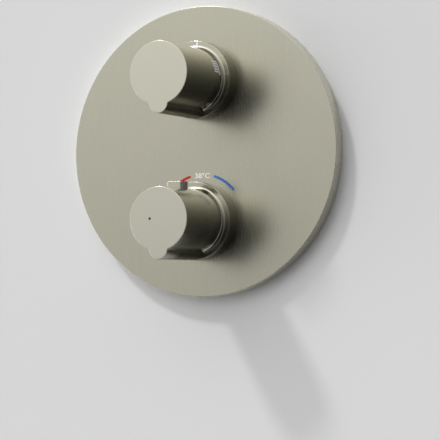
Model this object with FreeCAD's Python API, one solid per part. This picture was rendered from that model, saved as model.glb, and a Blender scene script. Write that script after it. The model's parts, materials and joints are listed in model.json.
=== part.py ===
import FreeCAD, Part
import math
import os

# Concealed thermostatic shower valve with a round trim and two knobs, one above the other.
# Millimetres. +Z is up, +X is to the right of someone facing the valve, +Y goes into the wall.
# The origin is the centre of the round trim on the wall's finished face, the plane y = 0.
# Angles around a knob's axis are clockwise from the top, as seen from the room.

# Trim disc
PLATE_RADIUS = 110.0
PLATE_DEPTH = 12.0
PLATE_WALL = 1.6
PLATE_EDGE = 0.9
AXIS_HEIGHT = 53.0
COLLAR_HOLE_RADIUS = 25.0
LEDGE_OUTER = 101.4
LEDGE_INNER = 100.0
LEDGE_END = -5.0
BEAD_RADIUS = 86.5
BEAD_HEIGHT = 1.5
GASKET_CHAMFER = 0.6

# Fixed collars between disc and knobs
COLLAR_RADIUS = 29.4
COLLAR_LENGTH = 11.4
COLLAR_WALL = 2.2
SPIGOT_RADIUS = 24.8
SPIGOT_BORE = 22.6
SPIGOT_END = -4.0
COLLAR_FLOOR = 3.0
SEAL_GROOVE_INNER, SEAL_GROOVE_OUTER = 26.6, 28.2
SEAL_GROOVE_DEPTH = 1.2
RING_NUT_RADIUS = 30.0
RING_NUT_THICKNESS = 4.2
RING_NUT_SLOTS = 8

# Screwed sleeves that carry the collars, and the sheet that seals the wall around them
SLEEVE_BORE = 20.1
SLEEVE_RADIUS = 22.2
SLEEVE_FRONT, SLEEVE_END = -14.0, 33.0
SLEEVE_GROOVE_FLOOR = 21.1
SLEEVE_GROOVE_HALF = 0.9
SLEEVE_GROOVES = (-9.5, -6.5)
SLEEVE_RING_SECTION = 0.72
MEMBRANE_START, MEMBRANE_END = 1.0, 2.4
MEMBRANE_HALF_WIDTH = 40.0
MEMBRANE_HALF_HEIGHT = 92.0
MEMBRANE_CORNER = 34.0
MEMBRANE_LIP = 5.0

# Knobs
KNOB_GAP = 0.6
KNOB_RADIUS = 23.4
KNOB_LENGTH = 59.0
KNOB_WALL = 3.0
KNOB_FRONT_WALL = 8.0
KNOB_EDGE = 0.6
FLANGE_RADIUS = 29.2
FLANGE_THICKNESS = 1.1
FLARE_RADIUS = 2.0
LOBE_RADIUS = 7.5
LOBE_OFFSET = 22.1
LOBE_ROOT_FILLET = 1.6
HUB_RADIUS = 13.6
HUB_BORE = 10.1
HUB_SETBACK = 4.0
SCREW_POCKET_RADIUS = 5.5
RIB_HALF_WIDTH = 4.5
SET_SCREW_SETBACK = 14.0
SET_SCREW_RADIUS = 2.4
SET_SCREW_TIP, SET_SCREW_SHOULDER, SET_SCREW_END = 9.4, 11.2, 20.0
FACE_HOLE_RADIUS = 0.9
FACE_HOLE_OFFSET = -6.9
FACE_HOLE_DEPTH = 6.0

# Safety button on the temperature knob
BUTTON_WIDTH = 13.4
BUTTON_LENGTH = 10.6
BUTTON_TOP = 28.3
BUTTON_CORNER = 2.0
BUTTON_SETBACK = 30.2
BUTTON_EDGE = 0.6
BUTTON_GROOVE_RADIUS = 0.4
BUTTON_GROOVES = (-2.3, 0.1, 2.5)
BUTTON_CLEARANCE = 0.25
BUTTON_STEM_RADIUS = 2.2
BUTTON_TRAVEL = 2.0
SKIRT_TOP = 18.2
SKIRT_THICKNESS = 1.2
SKIRT_MARGIN_X, SKIRT_MARGIN_Y = 1.8, 1.5
FINGER_HALF_WIDTH = 2.5
FINGER_REACH = 2.6

# Turning range of the flow knob, from the off tick to the shower symbol
OFF_MARK_ANGLE = 5.0
SHOWER_MARK_ANGLE = 71.0
FLOW_TURN = SHOWER_MARK_ANGLE - OFF_MARK_ANGLE

# Spindles and handle adapters
SPLINE_TEETH = 20
SPLINE_OUTER = 4.0
SPLINE_ROOT = 3.5
SHAFT_RADIUS = 4.6
RUNNING_FIT = 0.05
ADAPTER_RADIUS = 10.0
ADAPTER_WALL = 3.0
SPINDLE_GROOVES = (10.8, 15.4)
SPINDLE_GROOVE_FLOOR = 3.4
SPINDLE_GROOVE_HALF = 0.8
CLIP_GROOVE_FLOOR = 3.8
CLIP_OUTER = 6.2
CLIP_EAR = 7.2
SCREW_RADIUS = 2.0
SCREW_HEAD_RADIUS = 3.5
SCREW_HEAD_HEIGHT = 3.4
SCREW_LENGTH = 13.0

# Ceramic headwork of the flow control
DISC_RADIUS = 9.0
PORT_INNER, PORT_EDGE = 3.6, 7.8
PORT_HALF_ANGLE = 28.0
TONGUE_HALF_WIDTH, TONGUE_HALF_LENGTH = 2.4, 7.4
STOP_TAB_RADIUS = 8.4
STOP_RING_RADIUS = 6.1
STOP_TAB_START, STOP_TAB_END = -9.6, -5.6
HEADWORK_NOSE_RADIUS = 10.5
HEADWORK_FLANGE_RADIUS = 16.5
HEADWORK_SHANK_RADIUS = 12.9
HEADWORK_CAGE_RADIUS = 11.6
HEADWORK_FLATS = 24.0
STOP_TAB_HALF_ANGLE = 13.0
DRIVER_START, DRIVER_END = 27.5, 31.0
MOVING_START, MOVING_END = 31.1, 35.1
FIXED_START, FIXED_END = 35.15, 39.15
SEAT_Y = 46.0

# Thermostatic cartridge
HOUSING_RADIUS = 17.3
HOUSING_NOSE_RADIUS = 12.5
HOUSING_END = 64.0
CHAMBER_RADIUS = 10.0
CHAMBER_Y = 20.0
SHUTTLE_BORE = 14.2
SHUTTLE_RADIUS = 14.1
SHUTTLE_START, SHUTTLE_END = 42.0, 55.0
ELEMENT_RADIUS = 5.5
COLD_WINDOW = (37.0, 42.6)
HOT_WINDOW = (54.4, 60.0)
COLD_RECESS = (36.4, 46.2)
HOT_RECESS = (53.8, 60.4)
SEAL_GROOVES = (33.5, 48.5, 62.1)
HOUSING_GROOVE_FLOOR = 15.9
HOUSING_RECESS_FLOOR = 16.8
HOUSING_GROOVE_HALF = 1.2
HOUSING_FLOOR = 62.0
NUT_RADIUS = 18.1
NUT_FLATS = 34.0
NUT_START, NUT_END = 24.0, 33.0
KEY_HALF_WIDTH = 2.4
STOP_RING_FRONT = -19.0
STOP_RING_BACK = -15.0
STOP_RING_OUTER = 20.2
STOP_TOOTH_FIRST, STOP_TOOTH_LAST = -28.0, -9.5
STOP_TOOTH_HEIGHT = 4.0
SPOKES = 3

# Brass body
MOUTH_RADIUS = 20.0
LOWER_BARREL_RADIUS = 24.5
UPPER_BARREL_RADIUS = 22.0
MOUTH_Y = 22.0
BARREL_SHOULDER = 71.0
BARREL_END = 78.0
PASSAGE_Y = 68.6
PASSAGE_RADIUS = 4.5
PASSAGE_OUTER = 9.0
CHAMBER_END = 72.5
INLET_Y = 50.0
INLET_REACH = 66.0
OUTLET_Y = 50.0
OUTLET_TOP = 98.0
PORT_OUTER = 14.5
PORT_BEAD = 16.0
THREAD_RADIUS = 9.5
THREAD_LENGTH = 14.0
PORT_BEAD_LENGTH = 11.0
LUG_X = 32.0
LUG_RADIUS = 8.0
LUG_HOLE = 2.75
WEB_HALF_THICKNESS = 3.5

# Check valves in the inlets
CHECK_RADIUS = 9.2
CHECK_OUTER_X = 50.0
CHECK_INNER_X = 32.0
POPPET_RADIUS = 6.4
POPPET_STEM = 1.5
POPPET_END = 48.0
CHECK_SEAT_RADIUS = 5.4
STRAINER_HOLE_RADIUS = 1.3
STRAINER_HOLE_CIRCLE = 4.2

# Mounting bracket
BRACKET_PAN_Y = 79.0
BRACKET_STEP = 6.0
BRACKET_SHEET = 2.0
BRACKET_HALF_WIDTH = 70.0
BRACKET_HALF_HEIGHT = 50.0
WALL_HOLE_X = 58.0
WALL_HOLE_Z = 38.0
WALL_HOLE_RADIUS = 2.75
WINDOW_RADIUS = 10.0
BEND_IN, BEND_OUT = 42.0, 46.0
BRACKET_SCREW_RADIUS = 2.5
BRACKET_HEAD_RADIUS, BRACKET_HEAD_HEIGHT = 4.25, 3.6

# Worked out from the driving dimensions
PLATE_FRONT = -PLATE_DEPTH
PLATE_INSIDE = PLATE_FRONT + PLATE_WALL
COLLAR_FRONT = PLATE_FRONT - COLLAR_LENGTH
KNOB_BACK = COLLAR_FRONT - KNOB_GAP
KNOB_FACE = KNOB_BACK - KNOB_LENGTH
FLANGE_FRONT = KNOB_BACK - FLANGE_THICKNESS
CAVITY_RADIUS = KNOB_RADIUS - KNOB_WALL
CAVITY_FLOOR = KNOB_FACE + KNOB_FRONT_WALL
SET_SCREW_Y = KNOB_BACK - SET_SCREW_SETBACK
BUTTON_Y = KNOB_FACE + BUTTON_SETBACK
HUB_BACK = KNOB_BACK - HUB_SETBACK
SKIRT_BOTTOM = SKIRT_TOP - SKIRT_THICKNESS
ADAPTER_FRONT = KNOB_BACK - 34.0
ADAPTER_BACK = KNOB_BACK - 3.0
FLOW_Z = AXIS_HEIGHT
TEMPERATURE_Z = -AXIS_HEIGHT
NOSE_FRONT = {FLOW_Z: -10.0, TEMPERATURE_Z: -20.0}

NODES = {}


def vector(x, y, z):
    return FreeCAD.Vector(x, y, z)


# ---------------------------------------------------------------- outlines and basic solids

def rounded_wire(corners, place):
    """Closed wire through (u, v) corners; a third number rounds that corner with a tangent arc.

    place turns (u, v) into a point in space.
    """
    runs = []
    for index, corner in enumerate(corners):
        here = FreeCAD.Vector(corner[0], corner[1], 0)
        radius = corner[2] if len(corner) > 2 else 0.0
        before = FreeCAD.Vector(*corners[index - 1][:2], 0) - here
        after = FreeCAD.Vector(*corners[(index + 1) % len(corners)][:2], 0) - here
        if radius == 0.0:
            runs.append([here])
            continue
        before.normalize()
        after.normalize()
        half = before.getAngle(after) / 2
        bisector = before + after
        bisector.normalize()
        centre = here + bisector * (radius / math.sin(half))
        reach = radius / math.tan(half)
        runs.append([here + before * reach, centre - bisector * radius, here + after * reach])
    edges = []
    for index, run in enumerate(runs):
        points = [place(p.x, p.y) for p in run]
        if len(points) == 3:
            edges.append(Part.Arc(*points).toShape())
        following = runs[(index + 1) % len(runs)][0]
        start, end = points[-1], place(following.x, following.y)
        if start.distanceToPoint(end) > 1e-6:
            edges.append(Part.LineSegment(start, end).toShape())
    return Part.Wire(Part.__sortEdges__(edges))


def turned_y(corners, z=0.0):
    """Solid of revolution about a front-to-back axis; corners are (radius, y)."""
    face = Part.Face(rounded_wire(corners, lambda r, y: vector(r, y, z)))
    return face.revolve(vector(0, 0, z), vector(0, 1, 0), 360)


def turned_x(corners, y, z):
    """Solid of revolution about a left-to-right axis; corners are (radius, x)."""
    face = Part.Face(rounded_wire(corners, lambda r, x: vector(x, y, z + r)))
    return face.revolve(vector(0, y, z), vector(1, 0, 0), 360)


def turned_z(corners, x, y):
    """Solid of revolution about an upright axis; corners are (radius, z)."""
    face = Part.Face(rounded_wire(corners, lambda r, z: vector(x + r, y, z)))
    return face.revolve(vector(x, y, 0), vector(0, 0, 1), 360)


def prism_y(corners, start, end):
    """Outline of (x, z) corners carried from y = start to y = end."""
    face = Part.Face(rounded_wire(corners, lambda x, z: vector(x, start, z)))
    return face.extrude(vector(0, end - start, 0))


def prism_z(corners, start, end):
    """Outline of (x, y) corners carried from z = start to z = end."""
    face = Part.Face(rounded_wire(corners, lambda x, y: vector(x, y, start)))
    return face.extrude(vector(0, 0, end - start))


def rectangle(centre_u, centre_v, half_u, half_v, radius=0.0):
    """Corners of a rectangle with rounded corners."""
    signs = [(-1, -1), (1, -1), (1, 1), (-1, 1)]
    return [(centre_u + su * half_u, centre_v + sv * half_v, radius) for su, sv in signs]


def hexagon(across_flats, z):
    """Corners of a hexagon around a knob's axis, with flats to the left and right."""
    reach = across_flats / math.sqrt(3)
    angles = [math.radians(60 * i) for i in range(6)]
    return [(reach * math.sin(a), z + reach * math.cos(a)) for a in angles]


def spline_outline(outer, root, z):
    """Corners of a toothed outline around a knob's axis."""
    corners = []
    step = 2 * math.pi / SPLINE_TEETH
    for tooth in range(SPLINE_TEETH):
        for share, radius in ((-0.35, root), (-0.12, outer), (0.12, outer), (0.35, root)):
            angle = (tooth + share) * step
            corners.append((radius * math.sin(angle), z + radius * math.cos(angle)))
    return corners


def around(radius, angle, y, z):
    """Point at a clockwise angle from the top, around a knob's axis."""
    turn = math.radians(angle)
    return vector(radius * math.sin(turn), y, z + radius * math.cos(turn))


def sector(inner, outer, first, last, start, end, z):
    """Part of a ring around a knob's axis, between two clockwise angles."""
    middle = (first + last) / 2
    edges = [
        Part.Arc(*(around(outer, a, start, z) for a in (first, middle, last))).toShape(),
        Part.LineSegment(around(outer, last, start, z), around(inner, last, start, z)).toShape(),
        Part.Arc(*(around(inner, a, start, z) for a in (last, middle, first))).toShape(),
        Part.LineSegment(around(inner, first, start, z), around(outer, first, start, z)).toShape(),
    ]
    return Part.Face(Part.Wire(edges)).extrude(vector(0, end - start, 0))


def rod_y(radius, start, end, z, x=0.0):
    return Part.makeCylinder(radius, end - start, vector(x, start, z), vector(0, 1, 0))


def rod_x(radius, start, end, y, z):
    return Part.makeCylinder(radius, end - start, vector(start, y, z), vector(1, 0, 0))


def rod_z(radius, start, end, x, y):
    return Part.makeCylinder(radius, end - start, vector(x, y, start), vector(0, 0, 1))


def ring_y(radius, section, y, z):
    """Round rubber ring about a front-to-back axis."""
    return Part.makeTorus(radius, section, vector(0, y, z), vector(0, 1, 0))


def tube_y(inner, outer, start, end, z):
    return turned_y([(inner, start), (outer, start), (outer, end), (inner, end)], z)


def block(x0, x1, y0, y1, z0, z1):
    return Part.makeBox(x1 - x0, y1 - y0, z1 - z0, vector(x0, y0, z0))


def fused(first, *others):
    return first.fuse(list(others)).removeSplitter()


def mirrored_x(shape):
    return shape.mirror(vector(0, 0, 0), vector(1, 0, 0))


def tangent_arc(start, end, tangent):
    """Arc from start to end that leaves start along tangent."""
    chord = end - start
    length = chord.Length
    angle = tangent.getAngle(chord)
    chord.normalize()
    bulge = tangent - chord * tangent.dot(chord)
    bulge.normalize()
    middle = (start + end) * 0.5 + bulge * (length / 2 * math.tan(angle / 2))
    return Part.Arc(start, middle, end).toShape()


def coil(radius, wire, length, turns):
    """Compression spring of square wire along +Z from z = 0.

    Each half turn of the helix is a pair of arcs that share their tangent where they meet.
    """
    rise = (length - wire * math.sqrt(2)) / turns
    start_height = wire / math.sqrt(2)

    def point(step):
        angle = math.pi * step
        return vector(radius * math.cos(angle), radius * math.sin(angle), start_height + rise * step / 2)

    def direction(step):
        angle = math.pi * step
        slope = vector(-radius * math.sin(angle), radius * math.cos(angle), rise / (2 * math.pi))
        slope.normalize()
        return slope

    edges = []
    for step in range(int(round(2 * turns))):
        start, end = point(step), point(step + 1)
        leave, arrive = direction(step), direction(step + 1)
        span, both = end - start, leave + arrive
        spread = 2 * (1 - leave.dot(arrive))
        reach = (math.sqrt(span.dot(both) ** 2 + spread * span.dot(span)) - span.dot(both)) / spread
        joint = (start + end + (leave - arrive) * reach) * 0.5
        edges.append(tangent_arc(start, joint, leave))
        back = tangent_arc(end, joint, arrive * -1)
        middle = back.valueAt((back.FirstParameter + back.LastParameter) / 2)
        edges.append(Part.Arc(joint, middle, end).toShape())
    across = vector(1, 0, 0)
    upward = direction(0).cross(across)
    upward.normalize()
    corners = []
    for corner in range(5):
        angle = math.pi / 2 * corner
        offset = across * math.cos(angle) + upward * math.sin(angle)
        corners.append(point(0) + offset * (wire / math.sqrt(2)))
    sweep = Part.BRepOffsetAPI.MakePipeShell(Part.Wire(edges))
    sweep.add(Part.makePolygon(corners))
    sweep.build()
    sweep.makeSolid()
    return sweep.shape()


def placed(shape, base, axis):
    """Copy of a shape made along +Z from the origin, moved to base and turned onto axis."""
    copy = shape.copy()
    copy.Placement = FreeCAD.Placement(base, FreeCAD.Rotation(vector(0, 0, 1), axis))
    return copy


# ---------------------------------------------------------------- trim disc and collars

def trim_plate():
    """Pressed disc with a turned-down rim, a stiffening bead and a ledge for the foam ring."""
    inside = PLATE_RADIUS - PLATE_WALL
    disc = turned_y([
        (0, PLATE_FRONT), (PLATE_RADIUS, PLATE_FRONT, PLATE_EDGE), (PLATE_RADIUS, 0),
        (inside, 0), (inside, PLATE_INSIDE, 0.6),
        (LEDGE_OUTER, PLATE_INSIDE), (LEDGE_OUTER, LEDGE_END), (LEDGE_INNER, LEDGE_END),
        (LEDGE_INNER, PLATE_INSIDE), (BEAD_RADIUS + BEAD_HEIGHT, PLATE_INSIDE),
        (BEAD_RADIUS, PLATE_INSIDE + BEAD_HEIGHT), (BEAD_RADIUS - BEAD_HEIGHT, PLATE_INSIDE),
        (0, PLATE_INSIDE)])
    holes = [rod_y(COLLAR_HOLE_RADIUS, PLATE_FRONT - 1, 1, z) for z in (FLOW_Z, TEMPERATURE_Z)]
    return disc.cut(holes)


def wall_gasket():
    """Foam ring between the disc's rim and its ledge, flush with the rim at the wall."""
    inner, outer = LEDGE_OUTER + 0.3, PLATE_RADIUS - PLATE_WALL - 0.1
    front = PLATE_INSIDE + 0.1
    return turned_y([(inner, front), (outer - GASKET_CHAMFER, front),
                     (outer, front + GASKET_CHAMFER), (outer, 0), (inner, 0)])


def collar(z):
    """Turned collar with a spigot through the disc and a seal groove in its rear face."""
    inner = COLLAR_RADIUS - COLLAR_WALL
    face, floor, groove = PLATE_FRONT, PLATE_FRONT - COLLAR_FLOOR, PLATE_FRONT - SEAL_GROOVE_DEPTH
    return turned_y([
        (inner, COLLAR_FRONT, 0.3), (COLLAR_RADIUS, COLLAR_FRONT, 0.5), (COLLAR_RADIUS, face),
        (SEAL_GROOVE_OUTER, face), (SEAL_GROOVE_OUTER, groove), (SEAL_GROOVE_INNER, groove),
        (SEAL_GROOVE_INNER, face), (SPIGOT_RADIUS, face), (SPIGOT_RADIUS, SPIGOT_END - 0.5),
        (SPIGOT_RADIUS - 0.5, SPIGOT_END), (SPIGOT_BORE, SPIGOT_END), (SPIGOT_BORE, floor),
        (inner - 1.0, floor), (inner, floor - 1.0)], z)


def collar_ring_nut(z):
    """Round nut with eight spanner slots that clamps the disc against the collar."""
    nut = tube_y(SPIGOT_RADIUS + 0.1, RING_NUT_RADIUS, PLATE_INSIDE, PLATE_INSIDE + RING_NUT_THICKNESS, z)
    slots = []
    for slot in range(RING_NUT_SLOTS):
        middle = 360 / RING_NUT_SLOTS * slot
        slots.append(sector(RING_NUT_RADIUS - 2, RING_NUT_RADIUS + 1, middle - 5, middle + 5,
                            PLATE_INSIDE + 1, 0, z))
    return nut.cut(slots)


def sleeve(z):
    """Tube that screws over the barrel's mouth and carries the collar on two rubber rings."""
    outline = [(SLEEVE_BORE, SLEEVE_FRONT), (SLEEVE_RADIUS - 0.4, SLEEVE_FRONT),
               (SLEEVE_RADIUS, SLEEVE_FRONT + 0.4)]
    for middle in SLEEVE_GROOVES:
        first, last = middle - SLEEVE_GROOVE_HALF, middle + SLEEVE_GROOVE_HALF
        outline += [(SLEEVE_RADIUS, first), (SLEEVE_GROOVE_FLOOR, first), (SLEEVE_GROOVE_FLOOR, last),
                    (SLEEVE_RADIUS, last)]
    outline += [(SLEEVE_RADIUS, SLEEVE_END), (SLEEVE_BORE, SLEEVE_END)]
    notches = []
    for angle in (90, 270):
        notches.append(sector(SLEEVE_BORE - 1, SLEEVE_RADIUS + 1, angle - 9, angle + 9,
                              SLEEVE_FRONT - 1, SLEEVE_FRONT + 2.6, z))
    return turned_y(outline, z).cut(notches)


def sealing_membrane():
    """Rubber sheet behind the wall's face, with a lip around each sleeve."""
    hole = SLEEVE_RADIUS + 0.1
    lip_end = MEMBRANE_END + MEMBRANE_LIP
    shape = prism_y(rectangle(0, 0, MEMBRANE_HALF_WIDTH, MEMBRANE_HALF_HEIGHT, MEMBRANE_CORNER),
                    MEMBRANE_START, MEMBRANE_END)
    for z in (FLOW_Z, TEMPERATURE_Z):
        shape = shape.fuse(tube_y(hole, hole + 1.7, MEMBRANE_END, lip_end, z))
    holes = [rod_y(hole, MEMBRANE_START - 1, lip_end + 1, z) for z in (FLOW_Z, TEMPERATURE_Z)]
    return shape.cut(holes).removeSplitter()


# ---------------------------------------------------------------- knobs

def lobed_outline(z):
    """Knob's outline: a circle with a round lobe below it, blended by two small fillets."""
    reach = KNOB_RADIUS + LOBE_ROOT_FILLET
    lobe_reach = LOBE_RADIUS + LOBE_ROOT_FILLET
    cosine = (reach ** 2 + LOBE_OFFSET ** 2 - lobe_reach ** 2) / (2 * LOBE_OFFSET * reach)
    angle = math.acos(cosine)
    middle = vector(0, KNOB_FACE, z)
    lobe = vector(0, KNOB_FACE, z - LOBE_OFFSET)
    ends = []
    for side in (1, -1):
        fillet = middle + vector(side * reach * math.sin(angle), 0, -reach * math.cos(angle))
        on_knob = middle + (fillet - middle) * (KNOB_RADIUS / reach)
        on_lobe = lobe + (fillet - lobe) * (LOBE_RADIUS / lobe_reach)
        inward = (on_knob - fillet) + (on_lobe - fillet)
        inward.normalize()
        ends.append((on_knob, fillet + inward * LOBE_ROOT_FILLET, on_lobe))
    right, left = ends
    edges = [
        Part.Arc(left[0], middle + vector(0, 0, KNOB_RADIUS), right[0]).toShape(),
        Part.Arc(*right).toShape(),
        Part.Arc(right[2], lobe - vector(0, 0, LOBE_RADIUS), left[2]).toShape(),
        Part.Arc(left[2], left[1], left[0]).toShape(),
    ]
    return Part.Wire(edges)


def knob(z):
    """Hollow knob with its lobe, rear flange, hub and the rib that holds the grub screw."""
    grip = Part.Face(lobed_outline(z)).extrude(vector(0, KNOB_LENGTH, 0))
    front_edges = [e for e in grip.Edges if abs(e.BoundBox.YMax - KNOB_FACE) < 1e-4]
    grip = grip.makeFillet(KNOB_EDGE, front_edges)
    flange = turned_y([
        (CAVITY_RADIUS, FLANGE_FRONT - 4), (KNOB_RADIUS, FLANGE_FRONT - 4),
        (KNOB_RADIUS, FLANGE_FRONT, FLARE_RADIUS), (FLANGE_RADIUS - 0.3, FLANGE_FRONT),
        (FLANGE_RADIUS, FLANGE_FRONT + 0.3), (FLANGE_RADIUS, KNOB_BACK), (CAVITY_RADIUS, KNOB_BACK)], z)
    socket_end = ADAPTER_FRONT - SCREW_HEAD_HEIGHT - 0.1
    pocket_end = socket_end - 4
    cavity = turned_y([
        (0, KNOB_BACK + 1), (CAVITY_RADIUS, KNOB_BACK + 1), (CAVITY_RADIUS, CAVITY_FLOOR + 1.5),
        (CAVITY_RADIUS - 1.5, CAVITY_FLOOR), (HUB_RADIUS + 1.5, CAVITY_FLOOR),
        (HUB_RADIUS, CAVITY_FLOOR + 1.5), (HUB_RADIUS, HUB_BACK), (HUB_BORE, HUB_BACK),
        (HUB_BORE, socket_end), (SCREW_POCKET_RADIUS, socket_end), (SCREW_POCKET_RADIUS, pocket_end),
        (0, pocket_end)], z)
    rib = block(-RIB_HALF_WIDTH, RIB_HALF_WIDTH, CAVITY_FLOOR - 1, HUB_BACK - 2,
                z - CAVITY_RADIUS - 1, z - HUB_RADIUS + 1)
    screw_hole = rod_z(SET_SCREW_RADIUS + 0.1, z - LOBE_OFFSET - LOBE_RADIUS - 2, z - HUB_BORE + 2,
                       0, SET_SCREW_Y)
    return fused(grip, flange).cut(cavity.cut(rib)).cut(screw_hole)


def temperature_knob(z):
    """Knob with the slot and guide hole of the safety button, and the small hole in its face."""
    clearance = BUTTON_CLEARANCE
    slot = prism_z(rectangle(0, BUTTON_Y, BUTTON_WIDTH / 2 + clearance, BUTTON_LENGTH / 2 + clearance,
                             BUTTON_CORNER + clearance), z + SKIRT_TOP + 0.3, z + BUTTON_TOP)
    guide = rod_z(BUTTON_STEM_RADIUS + 0.1, z + HUB_BORE - 1, z + HUB_RADIUS + 1, 0, BUTTON_Y)
    face_hole = rod_y(FACE_HOLE_RADIUS, KNOB_FACE - 1, KNOB_FACE + FACE_HOLE_DEPTH, z, FACE_HOLE_OFFSET)
    return knob(z).cut([slot, guide, face_hole])


def set_screw(z):
    """Grub screw with a cone point and a hexagon socket, pointing up into the adapter."""
    body = turned_z([
        (0, z - SET_SCREW_TIP), (SET_SCREW_RADIUS, z - SET_SCREW_SHOULDER),
        (SET_SCREW_RADIUS, z - SET_SCREW_END), (0, z - SET_SCREW_END)], 0, SET_SCREW_Y)
    reach = 2.5 / math.sqrt(3)
    socket_corners = []
    for side in range(6):
        angle = math.radians(60 * side)
        socket_corners.append((reach * math.cos(angle), SET_SCREW_Y + reach * math.sin(angle)))
    return body.cut(prism_z(socket_corners, z - SET_SCREW_END - 1, z - SET_SCREW_END + 3))


def safety_button(z):
    """Push-button with grooved flanks, a skirt, a guide stem and a rearward latch finger."""
    half_width, half_length = BUTTON_WIDTH / 2, BUTTON_LENGTH / 2
    cap = prism_z(rectangle(0, BUTTON_Y, half_width, half_length, BUTTON_CORNER),
                  z + SKIRT_TOP, z + BUTTON_TOP)
    top_edges = [e for e in cap.Edges if e.BoundBox.ZMin > z + BUTTON_TOP - 1e-4]
    cap = cap.makeFillet(BUTTON_EDGE, top_edges)
    grooves = []
    for side in (-1, 1):
        for place in BUTTON_GROOVES:
            grooves.append(rod_z(BUTTON_GROOVE_RADIUS, z + SKIRT_TOP, z + BUTTON_TOP + 1,
                                 side * half_width, BUTTON_Y + place))
    cap = cap.cut(grooves)
    bottom, top = z + SKIRT_BOTTOM, z + SKIRT_TOP
    skirt = prism_z(rectangle(0, BUTTON_Y, half_width + SKIRT_MARGIN_X, half_length + SKIRT_MARGIN_Y, 1.5),
                    bottom, top)
    stem = rod_z(BUTTON_STEM_RADIUS, z + ADAPTER_RADIUS + BUTTON_TRAVEL + 0.3, bottom, 0, BUTTON_Y)
    finger = block(-FINGER_HALF_WIDTH, FINGER_HALF_WIDTH, BUTTON_Y, STOP_RING_FRONT - FINGER_REACH,
                   bottom, top)
    return fused(cap, skirt, stem, finger)


def safety_button_spring(z):
    """Spring between the hub and the button's skirt, around the stem."""
    start = z + HUB_RADIUS + 0.1
    length = SKIRT_BOTTOM - HUB_RADIUS - 0.2
    return placed(coil(3.1, 0.5, length, 3), vector(0, BUTTON_Y, start), vector(0, 0, 1))


# ---------------------------------------------------------------- adapters and spindles

def adapter(z):
    """Brass handle adapter: splined bore, screw hole and the groove that the grub screw bites."""
    front, back = ADAPTER_FRONT, ADAPTER_BACK
    body = turned_y([
        (2.2, front), (ADAPTER_RADIUS, front, 0.8), (ADAPTER_RADIUS, SET_SCREW_Y - 1.2),
        (ADAPTER_RADIUS - 0.8, SET_SCREW_Y), (ADAPTER_RADIUS, SET_SCREW_Y + 1.2),
        (ADAPTER_RADIUS, back, 0.8), (2.2, back)], z)
    bore = prism_y(spline_outline(SPLINE_OUTER + 0.08, SPLINE_ROOT + 0.08, z), front + ADAPTER_WALL, back + 1)
    return body.cut(bore)


def adapter_screw(z):
    """Screw with a hexagon socket that draws the adapter onto the spindle."""
    seat, top, tip = ADAPTER_FRONT, ADAPTER_FRONT - SCREW_HEAD_HEIGHT, ADAPTER_FRONT + SCREW_LENGTH
    screw = turned_y([(0, top), (SCREW_HEAD_RADIUS, top, 0.4), (SCREW_HEAD_RADIUS, seat),
                      (SCREW_RADIUS, seat), (SCREW_RADIUS, tip), (0, tip)], z)
    return screw.cut(prism_y(hexagon(3.0, z), top - 1, top + 2))


def spindle_front(z, end):
    """Splined nose and round shaft shared by both spindles, with grooves for rings and clip."""
    shaft_start = KNOB_BACK - 2.5
    groove_start, groove_end = NOSE_FRONT[z] - 1.8, NOSE_FRONT[z] - 0.4
    spline = prism_y(spline_outline(SPLINE_OUTER, SPLINE_ROOT, z), ADAPTER_FRONT + ADAPTER_WALL, shaft_start)
    outline = [(0, shaft_start), (SHAFT_RADIUS, shaft_start, 0.5), (SHAFT_RADIUS, groove_start),
               (CLIP_GROOVE_FLOOR, groove_start), (CLIP_GROOVE_FLOOR, groove_end),
               (SHAFT_RADIUS, groove_end)]
    for middle in SPINDLE_GROOVES:
        first, last = middle - SPINDLE_GROOVE_HALF, middle + SPINDLE_GROOVE_HALF
        outline += [(SHAFT_RADIUS, first), (SPINDLE_GROOVE_FLOOR, first), (SPINDLE_GROOVE_FLOOR, last),
                    (SHAFT_RADIUS, last)]
    outline += [(SHAFT_RADIUS, end), (0, end)]
    hole = rod_y(SCREW_RADIUS + 0.05, ADAPTER_FRONT + 2, ADAPTER_FRONT + SCREW_LENGTH + 3, z)
    return fused(spline, turned_y(outline, z)).cut(hole)


def spindle_orings(z):
    return Part.makeCompound([ring_y(4.0, 0.58, y, z) for y in SPINDLE_GROOVES])


def spindle_clip(z):
    """Open retaining clip in the spindle's groove, in front of the cartridge's nose."""
    middle = NOSE_FRONT[z] - 1.1
    inner, start, end = CLIP_GROOVE_FLOOR + 0.05, middle - 0.5, middle + 0.5
    pieces = [sector(inner, CLIP_OUTER, -150, 150, start, end, z)]
    for side in (-1, 1):
        pieces.append(sector(inner, CLIP_EAR, side * 150 - 8, side * 150 + 8, start, end, z))
    return fused(*pieces)


# ---------------------------------------------------------------- ceramic headwork

def flow_spindle(z):
    """Spindle of the flow control with the driver flange and tongue that turn the ceramic disc."""
    driver = rod_y(8.4, DRIVER_START, DRIVER_END, z)
    tongue = block(-TONGUE_HALF_WIDTH, TONGUE_HALF_WIDTH, DRIVER_END, DRIVER_END + 2.4,
                   z - TONGUE_HALF_LENGTH, z + TONGUE_HALF_LENGTH)
    return fused(spindle_front(z, DRIVER_START), driver, tongue)


def flow_stop_ring(z):
    """Ring on the spindle whose tab limits the turn inside the headwork's nose."""
    ring = tube_y(SHAFT_RADIUS + 0.02, STOP_RING_RADIUS, STOP_TAB_START, STOP_TAB_END, z)
    half = STOP_TAB_HALF_ANGLE
    return fused(ring, sector(5.5, STOP_TAB_RADIUS, -half, half, STOP_TAB_START, STOP_TAB_END, z))


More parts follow.
